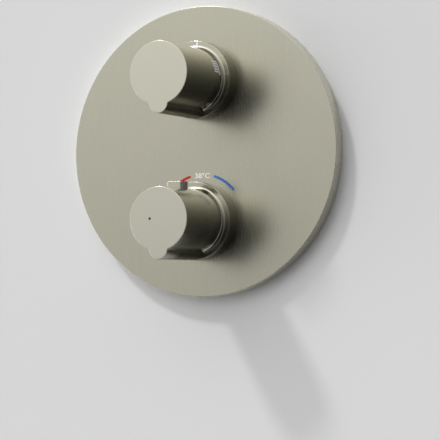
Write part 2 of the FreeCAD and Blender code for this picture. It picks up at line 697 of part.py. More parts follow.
def flow_headwork(z):
    """Brass headwork: nose with the stop window, hexagon, threaded shank and slotted cage."""
    bore, cage_bore, front = SHAFT_RADIUS + RUNNING_FIT, DISC_RADIUS + 0.2, NOSE_FRONT[z]
    nose, flange, shank, cage = (HEADWORK_NOSE_RADIUS, HEADWORK_FLANGE_RADIUS, HEADWORK_SHANK_RADIUS,
                                 HEADWORK_CAGE_RADIUS)
    window_end, cage_end = STOP_TAB_END + 0.2, SEAT_Y - 1.4
    outside = turned_y([
        (0, front), (nose, front, 0.5), (nose, MOUTH_Y - 3), (flange - 0.5, MOUTH_Y - 3),
        (flange, MOUTH_Y - 2.5), (flange, MOUTH_Y), (shank, MOUTH_Y), (shank, 29.0), (cage, 29.5),
        (cage, cage_end), (0, cage_end)], z)
    inside = turned_y([
        (0, front - 1), (STOP_RING_RADIUS + 0.2, front - 1), (STOP_RING_RADIUS + 0.2, window_end),
        (bore, window_end), (bore, DRIVER_START - 0.2), (cage_bore, DRIVER_START - 0.2),
        (cage_bore, SEAT_Y), (0, SEAT_Y)], z)
    hexagon_head = prism_y(hexagon(HEADWORK_FLATS, z), 12.0, MOUTH_Y - 2)
    margin = STOP_TAB_HALF_ANGLE + 1.0
    stop_window = sector(6.0, STOP_TAB_RADIUS + 0.2, -margin - FLOW_TURN, margin, front - 1, window_end, z)
    cuts = [inside, stop_window]
    for angle in (90, 270):
        cuts.append(sector(9.0, 12, angle - 35, angle + 35, DRIVER_START + 1.0, MOVING_START + 1.5, z))
    for angle in (0, 180):
        cuts.append(sector(9.0, 12, angle - 9, angle + 9, FIXED_START - 0.3, SEAT_Y, z))
    return fused(outside, hexagon_head).cut(cuts)


def ceramic_disc(z, start, end, port_centre):
    """Round ceramic disc with two opposite ports."""
    disc = rod_y(DISC_RADIUS, start, end, z)
    ports = []
    for half_turn in (0, 180):
        middle = port_centre + half_turn
        first, last = middle - PORT_HALF_ANGLE, middle + PORT_HALF_ANGLE
        ports.append(sector(PORT_INNER, PORT_EDGE, first, last, start - 1, end + 1, z))
    return disc.cut(ports)


def moving_ceramic_disc(z):
    """Disc that the spindle's tongue turns, by the slot in its front."""
    disc = ceramic_disc(z, MOVING_START, MOVING_END, 90)
    half_width, half_length = TONGUE_HALF_WIDTH + 0.1, TONGUE_HALF_LENGTH + 0.1
    slot = block(-half_width, half_width, MOVING_START - 1, DRIVER_END + 2.5,
                 z - half_length, z + half_length)
    return disc.cut(slot)


def fixed_ceramic_disc(z):
    """Fixed disc, whose ports meet the moving disc's ports at the end of the turn."""
    disc = ceramic_disc(z, FIXED_START, FIXED_END, 90 - FLOW_TURN)
    lugs = [sector(8.5, 11.2, a - 8, a + 8, FIXED_START, FIXED_END, z) for a in (0, 180)]
    return fused(disc, *lugs)


def disc_seat_seal(z):
    return turned_y([(6.6, FIXED_END), (8.9, FIXED_END, 0.6), (8.9, SEAT_Y, 0.6), (6.6, SEAT_Y)], z)


def headwork_seal(z):
    return turned_y([(13.1, MOUTH_Y + 0.05), (14.9, MOUTH_Y + 0.05, 0.5),
                     (14.9, MOUTH_Y + 1.5, 0.5), (13.1, MOUTH_Y + 1.5)], z)


# ---------------------------------------------------------------- thermostatic cartridge

def temperature_spindle(z):
    """Spindle of the thermostat with its thrust flange and the long thread for the nut."""
    flange = rod_y(8.0, CHAMBER_Y + 0.2, CHAMBER_Y + 2.8, z)
    thread = rod_y(5.0, CHAMBER_Y + 2.8, 32.5, z)
    return fused(spindle_front(z, CHAMBER_Y + 0.2), flange, thread)


def thermostat_housing(z):
    """Cartridge housing with its long nose, seal grooves, water windows and open rear end."""
    radius, nose, front = HOUSING_RADIUS, HOUSING_NOSE_RADIUS, NOSE_FRONT[z]
    outline = [(0, front), (nose, front, 0.5), (nose, 29.9), (radius, 29.9)]
    half = HOUSING_GROOVE_HALF
    steps = [(middle - half, middle + half, HOUSING_GROOVE_FLOOR) for middle in SEAL_GROOVES]
    steps += [recess + (HOUSING_RECESS_FLOOR,) for recess in (COLD_RECESS, HOT_RECESS)]
    for first, last, depth in sorted(steps):
        outline += [(radius, first), (depth, first), (depth, last), (radius, last)]
    outline += [(radius, HOUSING_END), (0, HOUSING_END)]
    bore = SHAFT_RADIUS + RUNNING_FIT
    inside = turned_y([
        (0, front - 1), (bore, front - 1), (bore, CHAMBER_Y), (CHAMBER_RADIUS, CHAMBER_Y),
        (CHAMBER_RADIUS, 36.0), (SHUTTLE_BORE, 36.0), (SHUTTLE_BORE, HOUSING_FLOOR), (6.2, HOUSING_FLOOR),
        (6.2, HOUSING_END + 1), (0, HOUSING_END + 1)], z)
    key_slots = block(-11.6, 11.6, CHAMBER_Y + 3, 36.5, z - KEY_HALF_WIDTH - 0.2, z + KEY_HALF_WIDTH + 0.2)
    cuts = [inside, key_slots]
    for first, last in (COLD_WINDOW, HOT_WINDOW):
        for quarter in range(4):
            middle = 45 + 90 * quarter
            cuts.append(sector(13, 18, middle - 32, middle + 32, first, last, z))
    for hole in range(6):
        centre = around(10.2, 60 * hole, 0, z)
        cuts.append(rod_y(2.8, 60, HOUSING_END + 1, centre.z, centre.x))
    return turned_y(outline, z).cut(cuts)


def thermostat_orings(z):
    return Part.makeCompound([ring_y(16.68, 0.74, y, z) for y in SEAL_GROOVES])


def thermostat_strainers(z):
    """Two thin slotted bands over the housing's windows."""
    bands = []
    for start, end in (COLD_RECESS, HOT_RECESS):
        band = tube_y(16.85, 17.25, start + 0.1, end - 0.1, z)
        slots = [sector(16, 18, 30 * i - 9, 30 * i + 9, start + 1, end - 1, z) for i in range(12)]
        bands.append(band.cut(slots))
    return Part.makeCompound(bands)


def thermostat_nut(z):
    """Threaded ring with a hexagon that holds the cartridge in the lower barrel."""
    thread = rod_y(NUT_RADIUS, MOUTH_Y, 29.8, z)
    head = prism_y(hexagon(NUT_FLATS, z), 15.0, MOUTH_Y)
    return fused(thread, head).cut(rod_y(HOUSING_NOSE_RADIUS + 0.1, 14, 31, z))


def temperature_stop_ring(z):
    """Ring on the cartridge's nose with the stop tooth beside the button's latch finger."""
    ring = tube_y(HOUSING_NOSE_RADIUS + 0.1, STOP_RING_OUTER, STOP_RING_FRONT, STOP_RING_BACK, z)
    tooth = sector(STOP_RING_OUTER - 1.5, STOP_RING_OUTER, STOP_TOOTH_FIRST, STOP_TOOTH_LAST,
                   STOP_RING_FRONT - STOP_TOOTH_HEIGHT, STOP_RING_FRONT, z)
    scallops = []
    for angle in range(30, 331, 60):
        centre = around(22.5, angle, 0, z)
        scallops.append(rod_y(4.0, STOP_RING_FRONT - 1, STOP_RING_BACK + 1, centre.z, centre.x))
    return fused(ring, tooth).cut(scallops)


def regulating_nut(z):
    """Nut on the spindle's thread, kept from turning by two keys in the housing."""
    nut = tube_y(5.06, 9.6, NUT_START, NUT_END, z)
    keys = block(-11.3, 11.3, NUT_START, NUT_END, z - KEY_HALF_WIDTH, z + KEY_HALF_WIDTH)
    return fused(nut, keys.cut(rod_y(9.0, NUT_START - 1, NUT_END + 1, z)))


def overload_cup(z):
    """Cup behind the nut that holds the overload spring and the piston's seat."""
    return turned_y([(8.1, NUT_END), (9.2, NUT_END), (9.2, 45.2, 0.8), (3.2, 45.2), (3.2, 44.2),
                     (8.1, 44.2)], z)


def piston_seat(z):
    """Stepped pad in the cup that the piston pushes against."""
    return turned_y([(0, 41.6), (7.9, 41.6), (7.9, 44.1), (2.6, 44.1), (2.6, 45.0), (0, 45.0)], z)


def wax_piston(z):
    return rod_y(1.5, 45.0, 49.0, z)


def wax_element(z):
    """Copper capsule of the thermostat, with the bore that takes its piston."""
    return turned_y([
        (1.55, 46.6), (4.2, 46.6, 0.5), (4.2, 50.2), (7.4, 50.2), (7.4, 51.6), (ELEMENT_RADIUS, 51.6),
        (ELEMENT_RADIUS, 61.2, 1.2), (0, 61.2), (0, 50.0), (1.55, 50.0)], z)


def mixing_shuttle(z):
    """Ring that opens and closes the hot and cold ports, carried by three spokes."""
    ring = tube_y(12.2, SHUTTLE_RADIUS, SHUTTLE_START, SHUTTLE_END, z)
    hub = tube_y(4.3, 7.4, 47.8, 50.2, z)
    spokes = []
    for spoke in range(SPOKES):
        middle = 360 / SPOKES * spoke
        spokes.append(sector(7.0, 12.6, middle - 14, middle + 14, 47.8, 50.2, z))
    return fused(ring, hub, *spokes)


def overload_spring(z):
    """Strong spring in the cup, which gives way if the hot water overheats the element."""
    return placed(coil(6.4, 1.2, 8.3, 3), vector(0, NUT_END + 0.2, z), vector(0, 1, 0))


def return_spring(z):
    """Spring behind the shuttle that pushes it back towards the hot seat."""
    return placed(coil(9.6, 1.1, 11.5, 4), vector(0, 50.35, z), vector(0, 1, 0))


# ---------------------------------------------------------------- brass body

def barrel(z, radius):
    """Barrel with its threaded mouth towards the room and a domed rear end."""
    return turned_y([
        (0, MOUTH_Y), (MOUTH_RADIUS - 0.6, MOUTH_Y), (MOUTH_RADIUS, MOUTH_Y + 0.6), (MOUTH_RADIUS, 34.0),
        (radius, 36.0, 1.0),
        (radius, BARREL_SHOULDER, 5.0), (radius * 0.5, BARREL_END, 3.0), (0, BARREL_END)], z)


def port_end(reach):
    """Outline of a port with the thick bead round its threaded end, as (radius, distance)."""
    bead = reach - PORT_BEAD_LENGTH
    return [(PORT_OUTER, 0), (PORT_OUTER, bead - 1.5), (PORT_BEAD, bead, 0.8),
            (PORT_BEAD, reach - 0.8), (PORT_BEAD - 0.8, reach), (0, reach)]


def valve_body():
    """Brass casting: two barrels, the passage between them, inlets, outlet and fixing lugs."""
    lower = barrel(TEMPERATURE_Z, LOWER_BARREL_RADIUS)
    upper = barrel(FLOW_Z, UPPER_BARREL_RADIUS)
    passage = rod_z(PASSAGE_OUTER, TEMPERATURE_Z, FLOW_Z, 0, PASSAGE_Y)
    inlets = [turned_x([(0, 0)] + port_end(INLET_REACH), INLET_Y, TEMPERATURE_Z)]
    inlets.append(mirrored_x(inlets[0]))
    outlet = turned_z([(0, FLOW_Z), (PORT_OUTER, FLOW_Z)] + port_end(OUTLET_TOP)[1:], 0, OUTLET_Y)
    casting_web = block(-WEB_HALF_THICKNESS, WEB_HALF_THICKNESS, 40.0, PASSAGE_Y, -32.0, 32.0)
    arm = block(-LUG_X, LUG_X, 62.0, 72.0, -5.0, 5.0)
    lugs = [rod_y(LUG_RADIUS, 60.0, BRACKET_PAN_Y, 0, x) for x in (-LUG_X, LUG_X)]
    casting = fused(lower, upper, passage, outlet, casting_web, arm, *inlets, *lugs)
    for bore in body_bores():
        casting = casting.cut(bore)
    return casting


def body_bores():
    """Everything that is machined out of the casting."""
    upper_bore = turned_y([
        (0, MOUTH_Y - 1), (15.0, MOUTH_Y - 1), (15.0, MOUTH_Y + 1.6), (13.0, MOUTH_Y + 1.6), (13.0, 29.5),
        (12.6, 29.5), (12.6, SEAT_Y), (6.2, SEAT_Y), (6.2, 49.0), (9.5, 49.0), (9.5, CHAMBER_END),
        (0, CHAMBER_END)], FLOW_Z)
    lower_bore = turned_y([
        (0, MOUTH_Y - 1), (18.2, MOUTH_Y - 1), (18.2, 30.0), (17.5, 30.0), (17.5, HOUSING_END + 0.1),
        (14.0, HOUSING_END + 0.1), (14.0, CHAMBER_END), (0, CHAMBER_END)], TEMPERATURE_Z)
    bores = [upper_bore, lower_bore, rod_z(PASSAGE_RADIUS, TEMPERATURE_Z, FLOW_Z, 0, PASSAGE_Y)]
    for side in (-1, 1):
        port = rod_x(THREAD_RADIUS, 0, THREAD_LENGTH + 1, INLET_Y, TEMPERATURE_Z)
        port.translate(vector(INLET_REACH - THREAD_LENGTH, 0, 0))
        check_bore = rod_x(CHECK_RADIUS + 0.1, 30.0, INLET_REACH, INLET_Y, TEMPERATURE_Z)
        feed_y = INLET_Y + (6.6 if side < 0 else -6.6)
        feed = rod_x(2.6, 15.0, 31.0, feed_y, TEMPERATURE_Z)
        for bore in (port, check_bore, feed):
            bores.append(bore if side > 0 else mirrored_x(bore))
        bores.append(rod_y(LUG_HOLE, BRACKET_PAN_Y - 14, BRACKET_PAN_Y + 1, 0, side * LUG_X))
    bores.append(rod_z(THREAD_RADIUS, OUTLET_TOP - THREAD_LENGTH, OUTLET_TOP + 1, 0, OUTLET_Y))
    bores.append(rod_z(8.5, FLOW_Z + 8, OUTLET_TOP, 0, OUTLET_Y).cut(rod_y(12.0, 20, 70, FLOW_Z)))
    return bores


# ---------------------------------------------------------------- check valves, on the cold side

def check_cage():
    """Plastic cage with the valve seat, and three spokes that guide the poppet's stem."""
    cage = turned_x([
        (7.8, CHECK_INNER_X), (CHECK_RADIUS, CHECK_INNER_X), (CHECK_RADIUS, CHECK_OUTER_X, 0.4),
        (CHECK_SEAT_RADIUS, CHECK_OUTER_X, 1.2), (CHECK_SEAT_RADIUS, 46.6), (7.8, 46.6)],
        INLET_Y, TEMPERATURE_Z)
    hub = turned_x([(1.6, CHECK_INNER_X), (3.0, CHECK_INNER_X), (3.0, CHECK_INNER_X + 3),
                    (1.6, CHECK_INNER_X + 3)], INLET_Y, TEMPERATURE_Z)
    spokes = []
    for spoke in range(SPOKES):
        arm = block(CHECK_INNER_X, CHECK_INNER_X + 2, INLET_Y - 0.8, INLET_Y + 0.8,
                    TEMPERATURE_Z + 2.6, TEMPERATURE_Z + 8.2)
        arm.rotate(vector(0, INLET_Y, TEMPERATURE_Z), vector(1, 0, 0), 360 / SPOKES * spoke)
        spokes.append(arm)
    return fused(cage, hub, *spokes)


def check_poppet():
    """Poppet with a coned sealing face, closed against the seat."""
    return turned_x([
        (0, CHECK_INNER_X + 1.6), (POPPET_STEM, CHECK_INNER_X + 1.6), (POPPET_STEM, POPPET_END - 5.0),
        (POPPET_RADIUS, POPPET_END - 3.8), (POPPET_RADIUS, POPPET_END - 2.0),
        (CHECK_SEAT_RADIUS - 0.3, POPPET_END - 1.6), (CHECK_SEAT_RADIUS - 0.3, POPPET_END, 1.0),
        (0, POPPET_END)], INLET_Y, TEMPERATURE_Z)


def check_spring():
    """Spring that holds the poppet against its seat."""
    base = vector(CHECK_INNER_X + 3.1, INLET_Y, TEMPERATURE_Z)
    return placed(coil(3.2, 0.5, 8.2, 4), base, vector(1, 0, 0))


def inlet_strainer():
    """Dished strainer in front of the check valve, with a ring of holes."""
    disc = turned_x([
        (0, CHECK_OUTER_X + 1.2), (6.5, CHECK_OUTER_X + 0.1), (CHECK_RADIUS, CHECK_OUTER_X + 0.1),
        (CHECK_RADIUS, CHECK_OUTER_X + 0.8), (6.5, CHECK_OUTER_X + 0.8), (0, CHECK_OUTER_X + 1.8)],
        INLET_Y, TEMPERATURE_Z)
    first, last = CHECK_OUTER_X - 1, CHECK_OUTER_X + 3
    holes = [rod_x(STRAINER_HOLE_RADIUS, first, last, INLET_Y, TEMPERATURE_Z)]
    for hole in range(6):
        angle = math.radians(60 * hole)
        y = INLET_Y + STRAINER_HOLE_CIRCLE * math.cos(angle)
        z = TEMPERATURE_Z + STRAINER_HOLE_CIRCLE * math.sin(angle)
        holes.append(rod_x(STRAINER_HOLE_RADIUS, first, last, y, z))
    return disc.cut(holes)


# ---------------------------------------------------------------- mounting

def mounting_bracket():
    """Steel bracket with a raised pan for the body and a flange with wall holes on each side."""
    half, sheet = BRACKET_HALF_WIDTH, BRACKET_SHEET
    pan, wall = BRACKET_PAN_Y, BRACKET_PAN_Y + BRACKET_STEP
    front = [(BEND_IN, pan, 4.0), (BEND_OUT, wall, 2.0), (half, wall)]
    back = [(half, wall + sheet), (BEND_OUT - 1, wall + sheet, 4.0), (BEND_IN - 1, pan + sheet, 2.0)]
    right = front + back
    left = [(-corner[0],) + corner[1:] for corner in reversed(right)]
    plate = prism_z(right + left, -BRACKET_HALF_HEIGHT, BRACKET_HALF_HEIGHT)
    near, far = pan - 1, wall + sheet + 1
    holes = [rod_y(WINDOW_RADIUS, near, far, 0)]
    for side in (-1, 1):
        holes.append(rod_y(LUG_HOLE, near, far, 0, side * LUG_X))
        for level in (-1, 1):
            holes.append(rod_y(WALL_HOLE_RADIUS, near, far, level * WALL_HOLE_Z, side * WALL_HOLE_X))
            slot = rectangle(side * 22.0, level * 34.0, 10.0, 4.0, 3.9)
            holes.append(prism_y(slot, near, far))
    return plate.cut(holes)


def bracket_screws():
    """Two socket screws from behind the pan into the body's lugs."""
    screws = []
    seat = BRACKET_PAN_Y + BRACKET_SHEET
    for x in (-LUG_X, LUG_X):
        head = rod_y(BRACKET_HEAD_RADIUS, seat, seat + BRACKET_HEAD_HEIGHT, 0, x)
        socket = prism_y(hexagon(4.0, 0), seat + 1.4, seat + BRACKET_HEAD_HEIGHT + 1)
        socket.translate(vector(x, 0, 0))
        shank = rod_y(BRACKET_SCREW_RADIUS, seat - SCREW_LENGTH, seat, 0, x)
        screws.append(fused(head, shank).cut(socket))
    return Part.makeCompound(screws)


# ---------------------------------------------------------------- the assembly

def build_trim():
    NODES["trim_plate"] = trim_plate()
    NODES["wall_gasket"] = wall_gasket()
    NODES["flow_collar"] = collar(FLOW_Z)
    NODES["temperature_collar"] = collar(TEMPERATURE_Z)
    both = (FLOW_Z, TEMPERATURE_Z)
    NODES["collar_ring_nuts"] = Part.makeCompound([collar_ring_nut(z) for z in both])
    groove_middle = (SEAL_GROOVE_INNER + SEAL_GROOVE_OUTER) / 2
    seals = [ring_y(groove_middle, 0.58, PLATE_FRONT - SEAL_GROOVE_DEPTH / 2, z) for z in both]
    NODES["collar_seals"] = Part.makeCompound(seals)
    NODES["flow_sleeve"] = sleeve(FLOW_Z)
    NODES["temperature_sleeve"] = sleeve(TEMPERATURE_Z)
    radius = SLEEVE_GROOVE_FLOOR + SLEEVE_RING_SECTION + 0.01
    rings = [ring_y(radius, SLEEVE_RING_SECTION, y, z) for z in both for y in SLEEVE_GROOVES]
    NODES["sleeve_orings"] = Part.makeCompound(rings)
    NODES["sealing_membrane"] = sealing_membrane()


def build_controls():
    NODES["flow_knob"] = knob(FLOW_Z)
    NODES["temperature_knob"] = temperature_knob(TEMPERATURE_Z)
    for name, z in (("flow", FLOW_Z), ("temperature", TEMPERATURE_Z)):
        NODES[name + "_adapter"] = adapter(z)
        NODES[name + "_adapter_screw"] = adapter_screw(z)
        NODES[name + "_set_screw"] = set_screw(z)
        NODES[name + "_spindle_orings"] = spindle_orings(z)
        NODES[name + "_spindle_clip"] = spindle_clip(z)
    NODES["safety_button"] = safety_button(TEMPERATURE_Z)
    NODES["safety_button_spring"] = safety_button_spring(TEMPERATURE_Z)


def build_headwork():
    z = FLOW_Z
    NODES["flow_spindle"] = flow_spindle(z)
    NODES["flow_stop_ring"] = flow_stop_ring(z)
    NODES["flow_headwork"] = flow_headwork(z)
    NODES["moving_ceramic_disc"] = moving_ceramic_disc(z)
    NODES["fixed_ceramic_disc"] = fixed_ceramic_disc(z)
    NODES["disc_seat_seal"] = disc_seat_seal(z)
    NODES["headwork_seal"] = headwork_seal(z)


def build_thermostat():
    z = TEMPERATURE_Z
    NODES["temperature_spindle"] = temperature_spindle(z)
    NODES["thermostat_housing"] = thermostat_housing(z)
    NODES["thermostat_orings"] = thermostat_orings(z)
    NODES["thermostat_strainers"] = thermostat_strainers(z)
    NODES["thermostat_nut"] = thermostat_nut(z)
    NODES["temperature_stop_ring"] = temperature_stop_ring(z)
    NODES["regulating_nut"] = regulating_nut(z)
    NODES["overload_cup"] = overload_cup(z)
    NODES["overload_spring"] = overload_spring(z)
    NODES["piston_seat"] = piston_seat(z)
    NODES["wax_piston"] = wax_piston(z)
    NODES["wax_element"] = wax_element(z)
    NODES["mixing_shuttle"] = mixing_shuttle(z)
    NODES["return_spring"] = return_spring(z)


def build_body():
    NODES["valve_body"] = valve_body()
    pieces = {"check_cage": check_cage(), "check_poppet": check_poppet(),
              "check_spring": check_spring(), "strainer": inlet_strainer()}
    for name, shape in pieces.items():
        NODES["cold_" + name] = shape
        NODES["hot_" + name] = mirrored_x(shape)
    NODES["mounting_bracket"] = mounting_bracket()
    NODES["bracket_screws"] = bracket_screws()


def main():
    os.makedirs("parts", exist_ok=True)
    build_trim()
    build_controls()
    build_headwork()
    build_thermostat()
    build_body()
    for name, shape in NODES.items():
        if not shape.isValid():
            print("not valid:", name)
        shape.exportStep("parts/" + name + ".step")
        print(name, "solids", len(shape.Solids), "volume", round(shape.Volume, 1))
    print(len(NODES), "nodes")


main()
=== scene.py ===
"""Concealed thermostatic shower valve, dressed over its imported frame.

The visible trim (disc, collars, knobs, safety button and printed marks) is built here as smooth
surfaces. The brass body, cartridges, seals and bracket keep their CAD meshes and get finishes.
Lengths are metres in the CAD frame: +X right, +Y into the wall, +Z up, origin on the wall's face.
"""
import json
import logging
import math
from dataclasses import dataclass, field
from enum import Enum
from typing import Any, Sequence, Union

import bmesh
import bpy
import numpy as np
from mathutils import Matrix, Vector


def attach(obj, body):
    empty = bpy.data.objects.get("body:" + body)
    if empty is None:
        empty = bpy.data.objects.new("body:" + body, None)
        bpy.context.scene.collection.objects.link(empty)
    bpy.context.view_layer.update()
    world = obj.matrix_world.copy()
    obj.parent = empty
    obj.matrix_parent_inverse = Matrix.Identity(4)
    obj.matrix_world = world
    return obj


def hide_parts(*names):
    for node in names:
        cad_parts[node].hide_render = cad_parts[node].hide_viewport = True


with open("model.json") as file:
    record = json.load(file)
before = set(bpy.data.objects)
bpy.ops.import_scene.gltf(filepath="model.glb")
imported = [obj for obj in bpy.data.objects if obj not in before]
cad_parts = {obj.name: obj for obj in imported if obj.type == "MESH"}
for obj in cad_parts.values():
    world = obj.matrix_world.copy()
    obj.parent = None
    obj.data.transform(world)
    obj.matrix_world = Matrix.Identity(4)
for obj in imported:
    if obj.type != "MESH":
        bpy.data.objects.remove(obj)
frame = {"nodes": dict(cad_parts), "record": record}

LOG = logging.getLogger("shower_valve")
MM = 0.001

Array = np.ndarray
Colour = tuple[float, float, float]
Place = tuple[float, float, float]
Corner = tuple[float, ...]
Surface = tuple[Array, Array]

AXIS_HEIGHT = 53.0 * MM
DISC_FRONT = -12.0 * MM
KNOB_RADIUS = 23.4 * MM
KNOB_FACE = -83.0 * MM
FLANGE_FRONT = -25.1 * MM
SMOOTH_BELOW = 32.0


class Body(str, Enum):
    """Moving groups that pieces ride on."""

    VALVE = "valve"
    FLOW = "flow_control"
    TEMPERATURE = "temperature_control"
    BUTTON = "safety_button"


class Side(Enum):
    """Side of the 38 degree mark on which an arc lies."""

    HOT = -1
    COLD = 1


class Grain(Enum):
    """How a brushed surface was finished."""

    STRAIGHT = "straight"
    TURNED = "turned"


# ------------------------------------------------------------------ shader maths


class Value:
    """A shader socket that Python's arithmetic works on."""

    def __init__(self, shader: "Shader", socket: bpy.types.NodeSocket) -> None:
        """Wraps one output socket of a shader."""
        self.shader = shader
        self.socket = socket

    def _math(self, operation: str, first: Any, second: Any) -> "Value":
        """Adds one Math node for two operands."""
        return self.shader.node("ShaderNodeMath", {"operation": operation}, {0: first, 1: second})

    def __add__(self, other: Any) -> "Value":
        """Sum."""
        return self._math("ADD", self, other)

    def __radd__(self, other: Any) -> "Value":
        """Sum with the number first."""
        return self._math("ADD", other, self)

    def __sub__(self, other: Any) -> "Value":
        """Difference."""
        return self._math("SUBTRACT", self, other)

    def __rsub__(self, other: Any) -> "Value":
        """Difference with the number first."""
        return self._math("SUBTRACT", other, self)

    def __mul__(self, other: Any) -> "Value":
        """Product."""
        return self._math("MULTIPLY", self, other)

    def __rmul__(self, other: Any) -> "Value":
        """Product with the number first."""
        return self._math("MULTIPLY", other, self)

    def __pow__(self, other: Any) -> "Value":
        """Power."""
        return self._math("POWER", self, other)

    def __rpow__(self, other: Any) -> "Value":
        """Power with the number as its base."""
        return self._math("POWER", other, self)


class Shader:
    """Builder of one node material around a Principled surface."""

    def __init__(self, name: str) -> None:
        """Makes an empty node material with a Principled surface.

        Args:
            name: name of the material.
        """
        self.material = bpy.data.materials.new(name)
        self.material.use_nodes = True
        self.tree = self.material.node_tree
        self.tree.nodes.clear()
        self.output = self.tree.nodes.new("ShaderNodeOutputMaterial")
        self.surface = self.tree.nodes.new("ShaderNodeBsdfPrincipled")
        self.tree.links.new(self.surface.outputs[0], self.output.inputs["Surface"])

    @classmethod
    def on_tree(cls, tree: bpy.types.NodeTree) -> "Shader":
        """Shader that works on an existing node tree, such as the world's.

        Args:
            tree: the tree to add nodes to.

        Returns:
            A shader without a Principled surface.
        """
        made = cls.__new__(cls)
        made.tree = tree
        return made

    def node(self, kind: str, settings: dict[str, Any], inputs: dict[Any, Any],
             output: Union[int, str] = 0) -> Value:
        """Adds a node of any type.

        Args:
            kind: Blender's node type.
            settings: properties set before the sockets, such as a Math node's operation.
            inputs: socket name or number to a number, colour or Value.
            output: which of its outputs to return.

        Returns:
            The chosen output, ready for arithmetic.
        """
        made = self.tree.nodes.new(kind)
        for key, value in settings.items():
            setattr(made, key, value)
        for key, value in inputs.items():
            self.feed(made.inputs[key], value)
        return Value(self, made.outputs[output])

    def feed(self, socket: bpy.types.NodeSocket, value: Any) -> None:
        """Links a Value to a socket, or sets a plain number or colour on it.

        Args:
            socket: the input socket.
            value: a Value, number, vector or colour.
        """
        if isinstance(value, Value):
            self.tree.links.new(value.socket, socket)
        elif isinstance(value, tuple) and len(value) == 3 and socket.type == "RGBA":
            socket.default_value = (*value, 1.0)
        else:
            socket.default_value = value

    def principled(self, **inputs: Any) -> None:
        """Sets the surface's sockets; an underscore in a name stands for a space."""
        for key, value in inputs.items():
            self.feed(self.surface.inputs[key.replace("_", " ")], value)

    def place(self) -> Value:
        """Object coordinates, which are places in the frame, in metres."""
        return self.node("ShaderNodeTexCoord", {}, {}, "Object")

    def stretched(self, scale: Place) -> Value:
        """Object coordinates with a factor on each axis."""
        return self.node("ShaderNodeMapping", {"vector_type": "POINT"},
                         {"Vector": self.place(), "Scale": scale})

    def depth(self) -> Value:
        """Place along Y, from the wall's face (0) out to the knobs' faces (negative)."""
        return self.node("ShaderNodeSeparateXYZ", {}, {0: self.place()}, "Y")

    def spread(self) -> Value:
        """Distance from the disc's own axis, the front-to-back line through the origin."""
        flat = self.node("ShaderNodeVectorMath", {"operation": "MULTIPLY"},
                         {0: self.place(), 1: (1.0, 0.0, 1.0)})
        return self.node("ShaderNodeVectorMath", {"operation": "LENGTH"}, {0: flat}, "Value")

    def noise(self, place: Value, scale: float, detail: float, roughness: float = 0.5) -> Value:
        """Smooth noise between 0 and 1 at mapped coordinates."""
        inputs = {"Vector": place, "Scale": scale, "Detail": detail, "Roughness": roughness}
        return self.node("ShaderNodeTexNoise", {}, inputs)

    def ramp(self, value: Value, low: float, high: float) -> Value:
        """Value rescaled so that low becomes 0 and high becomes 1, held between them."""
        return self.node("ShaderNodeMapRange", {"clamp": True},
                         {"Value": value, "From Min": low, "From Max": high})

    def mix(self, amount: Any, first: Any, second: Any) -> Value:
        """Colour that goes from first to second as amount goes from 0 to 1."""
        inputs = {0: amount, 6: first, 7: second}
        return self.node("ShaderNodeMix", {"data_type": "RGBA"}, inputs, 2)

    def bump(self, height: Value, depth: float, strength: float) -> Value:
        """Normal of a surface raised by height times depth, in metres."""
        return self.node("ShaderNodeBump", {},
                         {"Height": height, "Distance": depth, "Strength": strength})


# ------------------------------------------------------------------ finishes


@dataclass(frozen=True)
class Finish:
    """A surface finish, known by the name of its material."""

    name: str

    def material(self) -> bpy.types.Material:
        """Makes the node material and dresses its surface.

        Returns:
            The finished material.
        """
        shader = Shader(self.name)
        self.dress(shader)
        return shader.material

    def dress(self, shader: Shader) -> None:
        """Feeds the surface's sockets, each finish in its own way.

        Args:
            shader: the shader whose surface it feeds.
        """
        raise NotImplementedError


